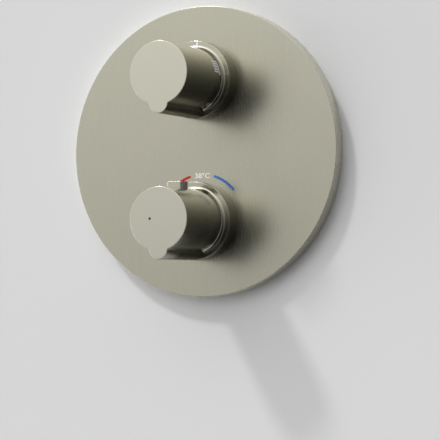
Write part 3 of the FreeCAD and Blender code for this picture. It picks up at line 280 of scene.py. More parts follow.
@dataclass(frozen=True)
class BrushedNickel(Finish):
    """Greige brushed nickel: hair-fine grain, soft mottling, and painted light on face and rim.

    The hairs are noise under factors along X, Y and Z, one set for the coarse and one for the
    fine hairs: drawn out along Z where the brushing is straight, and as rings about Y where it
    is turned. The face is what lies in front of face_plane; its lighter colour is painted light,
    standing in for the light it catches. The rim is what lies beyond a set distance from the
    disc's axis; its lighter colour is a painted highlight. Neither shows with the plain values.
    """

    grain: Grain
    colour: Colour = (0.424, 0.411, 0.330)
    bright: Colour = (0.468, 0.456, 0.373)
    # painted light: the knob face's lighter colour stands in for the light that face catches
    face: Colour = (0.53, 0.519, 0.433)
    # painted highlight: the rim's lighter colour stands in for a highlight along the disc's edge
    rim: Colour = (0.68, 0.667, 0.57)
    roughness: float = 0.27
    groove: float = 0.0000013
    face_plane: float = -1.0
    rim_highlight_radius: float = 1.0
    straight_hairs: tuple[Place, Place] = ((2400.0, 900.0, 20.0), (6500.0, 900.0, 55.0))
    turned_hairs: tuple[Place, Place] = ((6.0, 1500.0, 6.0), (6.0, 5200.0, 6.0))
    coarse_share: float = 0.6
    grain_gloss: float = 0.06
    cloud_gloss: float = 0.05
    cloud_shade: float = 0.35
    face_light_fade: tuple[float, float] = (0.5 * MM, 0.1 * MM)
    rim_highlight_fade: float = 0.2 * MM

    def dress(self, shader: Shader) -> None:
        """Mixes the tone from hairs, clouds, painted light on the face and a painted highlight on
        the rim; the hairs also go into the bump.

        Args:
            shader: the shader whose surface it feeds.
        """
        grain = self._hairs(shader)
        cloud = shader.noise(shader.place(), scale=28.0, detail=2.0)
        tint = shader.mix(shader.ramp(grain, low=0.2, high=0.8), self.colour, self.bright)
        clouded = shader.ramp(cloud, low=0.35, high=0.75) * self.cloud_shade
        # painted light: mask of the knob face, which takes the lighter face colour
        face_light_mask = shader.ramp(shader.depth(), low=self.face_plane + self.face_light_fade[0],
                              high=self.face_plane + self.face_light_fade[1])
        # painted highlight: mask of the disc's rim, which takes the lighter rim colour
        rim_highlight_mask = shader.ramp(shader.spread(), low=self.rim_highlight_radius,
                             high=self.rim_highlight_radius + self.rim_highlight_fade)
        body = shader.mix(face_light_mask, shader.mix(clouded, tint, self.colour), self.face)
        base = self.roughness - (self.grain_gloss + self.cloud_gloss) / 2
        shader.principled(
            Metallic=1.0,
            Base_Color=shader.mix(rim_highlight_mask, body, self.rim),
            Roughness=grain * self.grain_gloss + cloud * self.cloud_gloss + base,
            Normal=shader.bump(grain, depth=self.groove, strength=0.8))

    def _hairs(self, shader: Shader) -> Value:
        """Noise of the coarse and the fine hairs together.

        Args:
            shader: the shader to add it to.

        Returns:
            A value between 0 and 1.
        """
        straight = self.grain is Grain.STRAIGHT
        scales = self.straight_hairs if straight else self.turned_hairs
        coarse, fine = (shader.noise(shader.stretched(scale), scale=1.0, detail=detail)
                        for scale, detail in zip(scales, (2.0, 1.0 if straight else 2.0)))
        return coarse * self.coarse_share + fine * (1.0 - self.coarse_share)


@dataclass(frozen=True)
class TurnedMetal(Finish):
    """Machined metal with ring marks along its axis and a little tarnish."""

    colour: Colour
    tarnish: Colour
    roughness: float = 0.28
    ring_scale: Place = (8.0, 1800.0, 8.0)
    groove: float = 0.000012
    stain_shade: float = 0.7
    ring_gloss: float = 0.12
    stain_gloss: float = 0.18

    def dress(self, shader: Shader) -> None:
        """Lays fine rings along Y into gloss and bump, and cloudy tarnish into colour and gloss.

        Args:
            shader: the shader whose surface it feeds.
        """
        rings = shader.noise(shader.stretched(self.ring_scale), scale=1.0, detail=2.0)
        cloud = shader.noise(shader.place(), scale=60.0, detail=5.0, roughness=0.6)
        stain = shader.ramp(cloud, low=0.48, high=0.75)
        base = self.roughness - self.ring_gloss / 2
        shader.principled(
            Metallic=1.0,
            Base_Color=shader.mix(stain * self.stain_shade, self.colour, self.tarnish),
            Roughness=rings * self.ring_gloss + stain * self.stain_gloss + base,
            Normal=shader.bump(rings, depth=self.groove, strength=0.5))


@dataclass(frozen=True)
class CastBrass(Finish):
    """Shot-blasted brass casting: peened skin and uneven tone."""

    name: str = "cast_brass_skin"
    colour: Colour = (0.64, 0.46, 0.22)
    dull: Colour = (0.42, 0.29, 0.14)
    roughness: float = 0.36
    peening: float = 1300.0
    dent: float = 0.00006

    def dress(self, shader: Shader) -> None:
        """Lays small round peening into the bump, and clouds into colour and gloss.

        Args:
            shader: the shader whose surface it feeds.
        """
        place = shader.place()
        peen = shader.node("ShaderNodeTexVoronoi", {"feature": "SMOOTH_F1"},
                           {"Vector": place, "Scale": self.peening, "Smoothness": 0.6}, "Distance")
        grit = shader.noise(place, scale=2 * self.peening, detail=2.0)
        cloud = shader.noise(place, scale=45.0, detail=5.0, roughness=0.62)
        tone = shader.ramp(cloud, low=0.35, high=0.7)
        shader.principled(
            Metallic=1.0,
            Base_Color=shader.mix(tone * 0.75, self.colour, self.dull),
            Roughness=tone * 0.14 + peen * 0.15 + self.roughness,
            Normal=shader.bump(peen * 0.7 + grit * 0.3, depth=self.dent, strength=0.8))


@dataclass(frozen=True)
class Spangle(Finish):
    """Galvanised sheet with its zinc spangle."""

    name: str = "zinc_sheet"
    dark: Colour = (0.5, 0.52, 0.54)
    light: Colour = (0.72, 0.73, 0.74)
    roughness: float = 0.28
    crystals: float = 260.0
    relief: float = 0.00002

    def dress(self, shader: Shader) -> None:
        """Lays crystal cells of slightly different tone and gloss over the sheet.

        Args:
            shader: the shader whose surface it feeds.
        """
        place = shader.place()
        cells = shader.node("ShaderNodeTexVoronoi", {"feature": "F1"},
                            {"Vector": place, "Scale": self.crystals}, "Color")
        tone = shader.node("ShaderNodeSeparateColor", {}, {"Color": cells}, 0)
        fern = shader.noise(place, scale=900.0, detail=3.0)
        shader.principled(
            Metallic=1.0,
            Base_Color=shader.mix(tone * 0.6 + fern * 0.3, self.dark, self.light),
            Roughness=tone * 0.18 + fern * 0.1 + self.roughness,
            Normal=shader.bump(tone * 0.5 + fern * 0.5, depth=self.relief, strength=0.5))


@dataclass(frozen=True)
class Moulded(Finish):
    """Plastic, ceramic, rubber or foam: a dielectric with its own fine texture."""

    colour: Colour
    shade: Colour
    roughness: float
    texture_scale: float
    texture_depth: float
    fine_gloss: float = 0.12
    cloud_gloss: float = 0.08

    def dress(self, shader: Shader) -> None:
        """Lays a fine texture into the bump, and faint clouds into colour and gloss.

        Args:
            shader: the shader whose surface it feeds.
        """
        place = shader.place()
        fine = shader.noise(place, scale=self.texture_scale, detail=3.0)
        cloud = shader.noise(place, scale=70.0, detail=4.0)
        base = self.roughness - (self.fine_gloss + self.cloud_gloss) / 2
        shader.principled(
            Base_Color=shader.mix(shader.ramp(cloud, low=0.3, high=0.75), self.colour, self.shade),
            Roughness=fine * self.fine_gloss + cloud * self.cloud_gloss + base,
            Normal=shader.bump(fine, depth=self.texture_depth, strength=0.6))


@dataclass(frozen=True)
class Paint(Finish):
    """Printed ink of the marks: satin, very slightly uneven."""

    colour: Colour
    roughness: float = 0.4
    thin: float = 0.86

    def dress(self, shader: Shader) -> None:
        """Gives one colour a faint unevenness and a satin surface.

        Args:
            shader: the shader whose surface it feeds.
        """
        uneven = shader.noise(shader.place(), scale=900.0, detail=3.0)
        thin = tuple(channel * self.thin for channel in self.colour)
        shader.principled(
            Base_Color=shader.mix(shader.ramp(uneven, low=0.3, high=0.8) * 0.5, self.colour, thin),
            Specular_IOR_Level=0.3,
            Roughness=uneven * 0.15 + self.roughness,
            Normal=shader.bump(uneven, depth=0.000004, strength=0.4))


@dataclass(frozen=True)
class StagePaint(Finish):
    """Matt paint of the wall or floor; a one-sided wall can be looked through from behind."""

    colour: Colour
    one_sided: bool = False

    def dress(self, shader: Shader) -> None:
        """Gives the paint a faint roller texture, and clears its back where it is one-sided.

        Args:
            shader: the shader whose surface it feeds.
        """
        place = shader.place()
        roller = shader.noise(place, scale=260.0, detail=3.0)
        patchy = shader.noise(place, scale=3.0, detail=2.0) * 0.15
        thin = tuple(channel * 0.97 for channel in self.colour)
        shader.principled(
            Base_Color=shader.mix(patchy, self.colour, thin),
            Specular_IOR_Level=0.2,
            Roughness=0.85,
            Normal=shader.bump(roller, depth=0.00005, strength=0.3))
        if self.one_sided:
            behind = shader.node("ShaderNodeNewGeometry", {}, {}, "Backfacing")
            painted = Value(shader, shader.surface.outputs[0])
            clear = shader.node("ShaderNodeBsdfTransparent", {}, {})
            blend = shader.node("ShaderNodeMixShader", {}, {0: behind, 1: painted, 2: clear})
            shader.feed(shader.output.inputs["Surface"], blend)


# ------------------------------------------------------------------ surfaces


def rounded(corners: Sequence[Corner], steps: int = 7, support: float = 0.12 * MM) -> Array:
    """Open outline through (u, v) corners, a third number being that corner's radius.

    A rounded corner is an arc that touches both of its sides. A point a little outside each end
    of the arc keeps the flats next to it evenly shaded.

    Args:
        corners: the corners in order.
        steps: points on each arc.
        support: how far outside the arc's ends those points lie.

    Returns:
        An N x 2 array of points.
    """
    runs = []
    for index, corner in enumerate(corners):
        here = np.array(corner[:2], float)
        radius = corner[2] if len(corner) > 2 else 0.0
        if radius == 0.0:
            runs.append(here[None])
            continue
        before = np.array(corners[index - 1][:2], float) - here
        after = np.array(corners[(index + 1) % len(corners)][:2], float) - here
        before /= np.linalg.norm(before)
        after /= np.linalg.norm(after)
        half = math.acos(float(np.clip(before @ after, -1, 1))) / 2
        bisector = (before + after) / np.linalg.norm(before + after)
        centre = here + bisector * radius / math.sin(half)
        reach = radius / math.tan(half)
        first, last = here + before * reach - centre, here + after * reach - centre
        share = np.linspace(0, 1, steps)[:, None]
        swing = math.pi - 2 * half
        arc = (np.sin((1 - share) * swing) * first + np.sin(share * swing) * last) / math.sin(swing)
        runs.append(np.vstack([here + before * (reach + support), centre + arc,
                               here + after * (reach + support)]))
    return np.vstack(runs)


def grid_faces(rows: int, columns: int, wrap: bool) -> Array:
    """Quads of a grid of points, whose numbers run along its rows.

    Args:
        rows: how many rows it has.
        columns: points in each row.
        wrap: whether the last column joins the first.

    Returns:
        An N x 4 array of point numbers.
    """
    row = np.arange(rows - 1)[:, None]
    column = np.arange(columns if wrap else columns - 1)[None]
    following = (column + 1) % columns
    first, second = row * columns, (row + 1) * columns
    quads = [first + column, first + following, second + following, second + column]
    return np.stack(quads, -1).reshape(-1, 4)


def weld(mesh: bpy.types.Mesh, reach: float = 2e-6) -> None:
    """Merges poles and seams and turns the faces outwards.

    Args:
        mesh: the mesh, changed in place.
        reach: distance in the mesh's unit within which points merge.
    """
    shape = bmesh.new()
    shape.from_mesh(mesh)
    bmesh.ops.remove_doubles(shape, verts=shape.verts, dist=reach)
    bmesh.ops.dissolve_degenerate(shape, edges=shape.edges, dist=reach / 20)
    bmesh.ops.recalc_face_normals(shape, faces=shape.faces)
    shape.to_mesh(mesh)
    shape.free()


def make_piece(name: str, points: Array, faces: Array, material: bpy.types.Material,
               body: Body, sharp: float = SMOOTH_BELOW) -> bpy.types.Object:
    """Mesh object from arrays, with poles and seams merged and its faces pointing outwards.

    Args:
        name: name of the piece.
        points: N x 3 places in metres.
        faces: M x 4 quads.
        material: its finish.
        body: the moving group it rides on.
        sharp: angle in degrees above which an edge stays crisp.

    Returns:
        The new object.
    """
    mesh = bpy.data.meshes.new(name)
    mesh.vertices.add(len(points))
    mesh.vertices.foreach_set("co", np.ascontiguousarray(points, dtype=np.float32).ravel())
    mesh.loops.add(faces.size)
    mesh.loops.foreach_set("vertex_index", np.ascontiguousarray(faces, dtype=np.int32).ravel())
    mesh.polygons.add(len(faces))
    mesh.polygons.foreach_set("loop_start", np.arange(0, faces.size, 4, dtype=np.int32))
    mesh.update(calc_edges=True)
    weld(mesh)
    return finish_piece(mesh, name, material, body, sharp)


def finish_piece(mesh: bpy.types.Mesh, name: str, material: bpy.types.Material, body: Body,
                 sharp: float = SMOOTH_BELOW) -> bpy.types.Object:
    """Puts a finished mesh into the scene, shades it smooth and sets it on its body.

    Args:
        mesh: the mesh, in its place in the frame.
        name: name of the piece.
        material: its finish.
        body: the moving group it rides on.
        sharp: angle in degrees above which an edge stays crisp.

    Returns:
        The new object.
    """
    mesh.materials.clear()
    mesh.materials.append(material)
    mesh.polygons.foreach_set("use_smooth", np.ones(len(mesh.polygons), dtype=bool))
    mesh.set_sharp_from_angle(angle=math.radians(sharp))
    piece = bpy.data.objects.new(name, mesh)
    bpy.context.scene.collection.objects.link(piece)
    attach(piece, body.value)
    LOG.info("%s: %d faces on %s", name, len(mesh.polygons), body.value)
    return piece


def turned(profile: Array, x: float, z: float, segments: int) -> Surface:
    """Surface of revolution about the front-to-back line through (x, z), open at its ends.

    Each profile point (radius, y) becomes a ring: x + radius sin(a), y, z + radius cos(a).

    Args:
        profile: outline as N x 2 points.
        x: place of the axis.
        z: height of the axis.
        segments: points on each ring.

    Returns:
        Points and quads.
    """
    angle = np.linspace(0, 2 * math.pi, segments, endpoint=False)[None]
    radius, depth = profile[:, :1], profile[:, 1:]
    ring = [x + radius * np.sin(angle), depth + 0 * angle, z + radius * np.cos(angle)]
    return np.stack(ring, -1).reshape(-1, 3), grid_faces(len(profile), segments, True)


def joined(*parts: Surface) -> Surface:
    """Several surfaces as one set of points and faces.

    Args:
        parts: points and quads of each surface.

    Returns:
        Points and quads of them all.
    """
    points, faces, count = [], [], 0
    for part_points, part_faces in parts:
        points.append(part_points)
        faces.append(part_faces + count)
        count += len(part_points)
    return np.vstack(points), np.vstack(faces)


def sweep_rows(rows: Sequence[Array]) -> Surface:
    """Surface through closed rows of equally many points."""
    return np.vstack(rows), grid_faces(len(rows), len(rows[0]), True)


def at_depth(path: Array, y: float) -> Array:
    """Outline of (x, z) points as places in the frame at one depth."""
    return np.stack([path[:, 0], np.full(len(path), y), path[:, 1]], -1)


def upright_rod(radius: float, y: float, low: float, high: float, segments: int = 48) -> Surface:
    """Closed upright cylinder over x = 0: two poles and two rings.

    Args:
        radius: its radius.
        y: depth of its axis.
        low: height of its lower end.
        high: height of its upper end.
        segments: points on each ring.

    Returns:
        Points and quads.
    """
    angle = np.linspace(0, 2 * math.pi, segments, endpoint=False)
    ends = ((0.0, low), (radius, low), (radius, high), (0.0, high))
    return sweep_rows([np.stack([size * np.cos(angle), y + size * np.sin(angle),
                                 np.full(angle.shape, z)], -1) for size, z in ends])


def baked(maker: bpy.types.Object) -> bpy.types.Mesh:
    """New mesh of an object as it looks, with its modifiers or its text worked out.

    Args:
        maker: the object, which stays as it is.

    Returns:
        The new mesh.
    """
    bpy.context.view_layer.update()
    depsgraph = bpy.context.evaluated_depsgraph_get()
    return bpy.data.meshes.new_from_object(maker.evaluated_get(depsgraph))


def subtract(piece: bpy.types.Object, cutters: Sequence[Surface]) -> None:
    """Cuts closed surfaces out of a piece and applies the cut.

    Args:
        piece: the piece to cut.
        cutters: points and quads of each closed cutter.
    """
    for points, faces in cutters:
        mesh = bpy.data.meshes.new("cutter")
        mesh.from_pydata(points.tolist(), [], faces.tolist())
        weld(mesh)
        cutter = bpy.data.objects.new("cutter", mesh)
        bpy.context.scene.collection.objects.link(cutter)
        cut = piece.modifiers.new("cut", "BOOLEAN")
        cut.operation = "DIFFERENCE"
        cut.solver = "EXACT"
        cut.object = cutter
        done = baked(piece)
        piece.modifiers.clear()
        old, piece.data = piece.data, done
        done.name = old.name.split(".")[0]
        bpy.data.meshes.remove(old)
        bpy.data.objects.remove(cutter)
        bpy.data.meshes.remove(mesh)


# ------------------------------------------------------------------ trim disc and collars


@dataclass
class TrimDisc:
    """The round disc on the wall, with its two collar holes, bead, foam ledge and rim."""

    material: bpy.types.Material
    radius: float = 110.0 * MM
    front: float = DISC_FRONT
    wall: float = 1.6 * MM
    edge: float = 0.5 * MM
    foot_edge: float = 0.25 * MM
    inner_corner: float = 0.6 * MM
    hole_radius: float = 25.0 * MM
    hole_height: float = AXIS_HEIGHT
    field_radius: float = 84.0 * MM
    ledge_inner: float = 100.0 * MM
    ledge_outer: float = 101.4 * MM
    ledge_end: float = -5.0 * MM
    ledge_root: float = 0.4 * MM
    ledge_edge: float = 0.3 * MM
    bead_radius: float = 86.5 * MM
    bead: float = 1.5 * MM
    per_quarter: int = 90
    field_rings: int = 7

    @property
    def inside(self) -> float:
        """Depth of the sheet's inner face."""
        return self.front + self.wall

    def _half_outline(self, side: int) -> Array:
        """Outline of the flat field's upper or lower half.

        The arc runs from the right end of the level line to its left end; the chord runs back.

        Args:
            side: 1 for the upper half, -1 for the lower one.

        Returns:
            N x 2 points (x, z).
        """
        arc = np.linspace(0, math.pi, 2 * self.per_quarter + 1)
        curve = np.stack([np.cos(arc), side * np.sin(arc)], -1) * self.field_radius
        share = np.linspace(-1, 1, self.per_quarter + 1)[1:-1]
        chord = np.stack([share, 0 * share], -1) * self.field_radius
        return np.vstack([curve, chord])

    def _hole(self, side: int) -> Array:
        """Edge of a collar hole, where rays from its middle to the half's outline cross it.

        Args:
            side: 1 for the upper half, -1 for the lower one.

        Returns:
            N x 2 points (x, z), one for each point of the outline.
        """
        centre = np.array([0.0, side * self.hole_height])
        ray = self._half_outline(side) - centre
        return centre + ray / np.linalg.norm(ray, axis=1, keepdims=True) * self.hole_radius

    def _field(self, y: float, side: int) -> Surface:
        """Flat half field: rings that go from the collar hole's edge to the half's outline.

        Args:
            y: its depth.
            side: 1 for the upper half, -1 for the lower one.

        Returns:
            Points and quads.
        """
        hole, outline = self._hole(side), self._half_outline(side)
        return sweep_rows([at_depth(hole + (outline - hole) * share, y)
                           for share in np.linspace(0, 1, self.field_rings)])

    def _rim(self) -> Surface:
        """Everything outside the flat field: front, rounded edge, rim, foam ledge and bead.

        Returns:
            Points and quads.
        """
        inside, inner = self.inside, self.radius - self.wall
        profile = rounded([
            (self.field_radius, self.front), (self.radius, self.front, self.edge),
            (self.radius, 0, self.foot_edge), (inner, 0, self.foot_edge),
            (inner, inside, self.inner_corner), (self.ledge_outer, inside, self.ledge_root),
            (self.ledge_outer, self.ledge_end, self.ledge_edge),
            (self.ledge_inner, self.ledge_end, self.ledge_edge),
            (self.ledge_inner, inside, self.ledge_root), (self.bead_radius + self.bead, inside),
            (self.bead_radius, inside + self.bead, self.inner_corner),
            (self.bead_radius - self.bead, inside), (self.field_radius, inside)])
        angle = np.linspace(0, 2 * math.pi, 4 * self.per_quarter, endpoint=False)[None]
        radius, depth = profile[:, :1], profile[:, 1:]
        ring = [radius * np.cos(angle), depth + 0 * angle, radius * np.sin(angle)]
        faces = grid_faces(len(profile), 4 * self.per_quarter, True)
        return np.stack(ring, -1).reshape(-1, 3), faces

    def build(self) -> bpy.types.Object:
        """Builds the disc.

        Returns:
            The finished piece.
        """
        parts = [self._rim()]
        for side in (1, -1):
            hole = self._hole(side)
            parts += [self._field(self.front, side), self._field(self.inside, side),
                      sweep_rows([at_depth(hole, self.front), at_depth(hole, self.inside)])]
        points, faces = joined(*parts)
        piece = make_piece("trim_disc", points, faces, self.material, Body.VALVE)
        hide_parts("trim_plate")
        return piece


@dataclass
class Collar:
    """Fixed round collar between the disc and a knob, with its spigot through the disc."""

    name: str
    node: str
    height: float
    material: bpy.types.Material
    radius: float = 29.4 * MM
    bore: float = 27.2 * MM
    front: float = -23.4 * MM
    disc_front: float = DISC_FRONT
    floor: float = 3.0 * MM
    groove_outer: float = 28.2 * MM
    groove_inner: float = 26.6 * MM
    groove_depth: float = 1.2 * MM
    spigot_radius: float = 24.8 * MM
    spigot_bore: float = 22.6 * MM
    spigot_end: float = -4.0 * MM
    front_edge: float = 0.5 * MM
    bore_edge: float = 0.3 * MM
    foot_edge: float = 0.15 * MM
    floor_corner: float = 1.0 * MM
    spigot_lead: float = 0.5 * MM
    spigot_edge: float = 0.2 * MM
    segments: int = 240

    def build(self) -> bpy.types.Object:
        """Turns the collar's closed profile about its axis.

        Returns:
            The finished piece.
        """
        foot = self.disc_front
        seal, floor = foot - self.groove_depth, foot - self.floor
        profile = rounded([
            (self.bore, self.front, self.bore_edge), (self.radius, self.front, self.front_edge),
            (self.radius, foot, self.foot_edge), (self.groove_outer, foot),
            (self.groove_outer, seal), (self.groove_inner, seal), (self.groove_inner, foot),
            (self.spigot_radius, foot), (self.spigot_radius, self.spigot_end, self.spigot_lead),
            (self.spigot_bore, self.spigot_end, self.spigot_edge),
            (self.spigot_bore, floor, self.spigot_edge), (self.bore, floor, self.floor_corner)])
        closed = np.vstack([profile, profile[:1]])
        points, faces = turned(closed, 0.0, self.height, self.segments)
        piece = make_piece(self.name, points, faces, self.material, Body.VALVE)
        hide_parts(self.node)
        return piece


# ------------------------------------------------------------------ knobs


@dataclass
class Knob:
    """Round knob with a lobe along its underside, a thin rear flange and a hollow inside."""

    name: str
    node: str
    body: Body
    height: float
    material: bpy.types.Material
    radius: float = KNOB_RADIUS
    face: float = KNOB_FACE
    back: float = -24.0 * MM
    lobe_radius: float = 7.5 * MM
    lobe_offset: float = 22.1 * MM
    root_fillet: float = 1.6 * MM
    edge: float = 0.35 * MM
    flange_radius: float = 29.2 * MM
    flange_front: float = FLANGE_FRONT
    flange_edge: float = 0.3 * MM
    back_edge: float = 0.15 * MM
    flare: float = 2.6 * MM
    lobe_steps: int = 181
    round_steps: int = 241
    side_rings: int = 14
    edge_rings: int = 8
    face_shares: tuple[float, ...] = (0.0, 0.3, 0.6, 0.85, 0.97)
    cavity_radius: float = 20.4 * MM
    cavity_end: float = -75.0 * MM
    cavity_corner: float = 2.0 * MM
    mouth_edge: float = 0.4 * MM
    hub_radius: float = 13.6 * MM
    hub_end: float = -28.0 * MM
    hub_root: float = 1.5 * MM
    hub_bore: float = 10.1 * MM
    bore_end: float = -61.5 * MM
    screw_pocket: float = 5.5 * MM
    pocket_end: float = -65.5 * MM
    grub_hole: float = 2.5 * MM
    grub_place: float = -38.0 * MM
    grub_from: float = -32.0 * MM
    grub_to: float = -8.0 * MM

    def _angles(self) -> Array:
        """Angles round the knob from straight down, closer together along the lobe.

        Returns:
            Angles in radians, once round.
        """
        root = self._root_angle()
        lobe = np.linspace(-root, root, self.lobe_steps)
        rest = np.linspace(root, 2 * math.pi - root, self.round_steps)
        return np.concatenate([lobe, rest[1:-1]])

    def _root_angle(self) -> float:
        """Angle at which the root fillet meets the round part, by the law of cosines.

        Returns:
            The angle from straight down, in radians.
        """
        far = self.radius + self.root_fillet
        near = self.lobe_radius + self.root_fillet
        along = far ** 2 + self.lobe_offset ** 2 - near ** 2
        return math.acos(along / (2 * self.lobe_offset * far))

    def _lobe_angle(self) -> float:
        """Angle at which the root fillet meets the lobe.

        Returns:
            The angle from straight down, in radians.
        """
        root = self._root_angle()
        far = self.radius + self.root_fillet
        centre = np.array([math.sin(root), -math.cos(root)]) * far
        lobe = np.array([0.0, -self.lobe_offset])
        touch = lobe + (centre - lobe) * self.lobe_radius / (self.lobe_radius + self.root_fillet)
        return math.atan2(touch[0], -touch[1])

    def outline(self, angle: Array) -> Array:
        """Distance of the outline from the axis: the circle, the lobe's circle or the fillet's arc.

        Along a ray at angle a from straight down, a circle of radius r centred c below the axis
        is met at c cos(a) + sqrt(r^2 - c^2 sin(a)^2).

        Args:
            angle: angles from straight down, in radians.

        Returns:
            One distance for each angle.
        """
        side = np.abs((angle + math.pi) % (2 * math.pi) - math.pi)
        root, lobe = self._root_angle(), self._lobe_angle()
        across = self.lobe_offset * np.sin(side)
        on_lobe = self.lobe_offset * np.cos(side) + np.sqrt(
            np.maximum(self.lobe_radius ** 2 - across ** 2, 0))
        far = self.radius + self.root_fillet
        beside = far * np.sin(side - root)
        on_fillet = far * np.cos(side - root) - np.sqrt(
            np.maximum(self.root_fillet ** 2 - beside ** 2, 0))
        return np.where(side <= lobe, on_lobe, np.where(side < root, on_fillet, self.radius))

    def _row(self, radius: Array, y: float) -> Array:
        """Ring of points round the knob's axis.

        Args:
            radius: one distance from the axis, or one for each angle.
            y: the ring's depth.

        Returns:
            N x 3 places.
        """
        angle = self._angles()
        spread = np.broadcast_to(radius, angle.shape)
        return np.stack([spread * np.sin(angle), np.full(angle.shape, y),
                         self.height - spread * np.cos(angle)], -1)

    def _edge_rows(self) -> list[Array]:
        """Face and rounded front edge: the outline moved in along its normal by edge (1 - sin t).

        Returns:
            Rings from the middle of the face to the outline.
        """
        flat = self._row(self.outline(self._angles()), 0.0)
        along = np.roll(flat, -1, 0) - np.roll(flat, 1, 0)
        inward = np.stack([along[:, 2], 0 * along[:, 0], -along[:, 0]], -1)
        inward /= np.linalg.norm(inward, axis=1, keepdims=True)
        towards_axis = (0.0, 0.0, self.height) - flat
        inward *= np.sign((towards_axis * inward).sum(1, keepdims=True))
        rows = []
        for turn in np.linspace(0, math.pi / 2, self.edge_rings):
            row = flat + inward * self.edge * (1 - math.sin(turn))
            row[:, 1] = self.face + self.edge * (1 - math.cos(turn))
            rows.append(row)
        centre = np.array([0.0, self.face, self.height])
        face = [centre + (rows[0] - centre) * share for share in self.face_shares]
        return face + rows

    def rows(self) -> list[Array]:
        """All rings from the middle of the face, over the side and flange, into the hollow.

        Returns:
            Rings of N x 3 places.
        """
        outline = self.outline(self._angles())
        flare_start = self.flange_front - self.flare
        side = np.linspace(self.face + self.edge + 0.2 * MM, flare_start - 0.1 * MM,
                           self.side_rings)
        outside = rounded([
            (self.radius, flare_start - 0.5 * MM), (self.radius, self.flange_front, self.flare),
            (self.flange_radius, self.flange_front, self.flange_edge),
            (self.flange_radius, self.back, self.back_edge),
            (self.cavity_radius, self.back, self.mouth_edge)], steps=9)
        inside = rounded([
            (self.cavity_radius, self.back + 0.5 * MM),
            (self.cavity_radius, self.cavity_end, self.cavity_corner),
            (self.hub_radius, self.cavity_end, self.hub_root),
            (self.hub_radius, self.hub_end, self.mouth_edge),
            (self.hub_bore, self.hub_end, self.mouth_edge), (self.hub_bore, self.bore_end),
            (self.screw_pocket, self.bore_end), (self.screw_pocket, self.pocket_end),
            (0.0, self.pocket_end)])
        shell = self.radius - 0.01 * MM
        return (self._edge_rows() + [self._row(outline, y) for y in side]
                + [self._row(np.maximum(outline, radius) if radius >= shell else radius, y)
                   for radius, y in outside]
                + [self._row(radius, y) for radius, y in inside[1:]])

    def build(self) -> bpy.types.Object:
        """Builds the knob and cuts its holes.

        Returns:
            The finished piece.
        """
        points, faces = sweep_rows(self.rows())
        piece = make_piece(self.name, points, faces, self.material, self.body)
        subtract(piece, self.cutters())
        piece.data.set_sharp_from_angle(angle=math.radians(SMOOTH_BELOW))
        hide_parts(self.node)
        return piece

    def cutters(self) -> list[Surface]:
        """Holes in the knob: here the grub screw's hole up through the lobe."""
        return [upright_rod(self.grub_hole, self.grub_place, self.height + self.grub_from,
                            self.height + self.grub_to)]


@dataclass
class ButtonShape:
    """Plan of the safety button: a rounded rectangle whose side flanks carry upright grooves."""

    half_width: float = 6.7 * MM
    half_length: float = 5.3 * MM
    corner: float = 2.0 * MM
    middle: float = -52.8 * MM
    groove_depth: float = 1.2 * MM
    groove_places: tuple[float, ...] = (-2.3 * MM, 0.1 * MM, 2.5 * MM)
    groove_width: float = 1.5 * MM
    flank_steps: int = 61
    end_steps: int = 9

    def outline(self, grow: float = 0.0, grooves: float = 0.0) -> Array:
        """Closed plan outline as (x, y) points from the middle.

        Each corner is a quarter circle. On the flanks the outline dips by
        grooves x depth x exp(-(distance / half the width)^4) at each groove.

        Args:
            grow: how far the outline is moved outwards.
            grooves: 0 for plain flanks, 1 for full grooves.

        Returns:
            N x 2 points.
        """
        width, length = self.half_width + grow, self.half_length + grow
        corner = max(self.corner + grow, 0.2 * MM)
        flank = np.linspace(-(length - corner), length - corner, self.flank_steps)
        front = np.linspace(-(width - corner), width - corner, self.end_steps)
        turn = np.linspace(0, math.pi / 2, self.end_steps)[1:-1]
        quarter = np.stack([np.cos(turn), np.sin(turn)], -1) * corner
        right = np.stack([np.full(self.flank_steps, width), flank], -1)
        top = np.stack([front[::-1], np.full(self.end_steps, length)], -1)
        first = quarter + (width - corner, length - corner)
        second = quarter[::-1] * (-1, 1) + (-(width - corner), length - corner)
        half = np.vstack([right, first, top, second])
        plan = np.vstack([half, -half])
        dip = np.zeros(len(plan))
        for place in self.groove_places:
            dip += np.exp(-((plan[:, 1] - place) / (self.groove_width / 2)) ** 4)
        on_flank = np.abs(plan[:, 0]) > width - 1e-7
        plan[:, 0] -= np.sign(plan[:, 0]) * dip * on_flank * self.groove_depth * grooves
        return plan

    def ring(self, z: float, grow: float = 0.0, grooves: float = 0.0) -> Array:
        """The plan outline at height z, as places in the frame."""
        plan = self.outline(grow, grooves)
        return np.stack([plan[:, 0], self.middle + plan[:, 1], np.full(len(plan), z)], -1)

    def pole(self, z: float) -> Array:
        """The ring at height z drawn together to a point in the button's middle."""
        return self.ring(z) * (0.0, 0.0, 1.0) + (0.0, self.middle, 0.0)


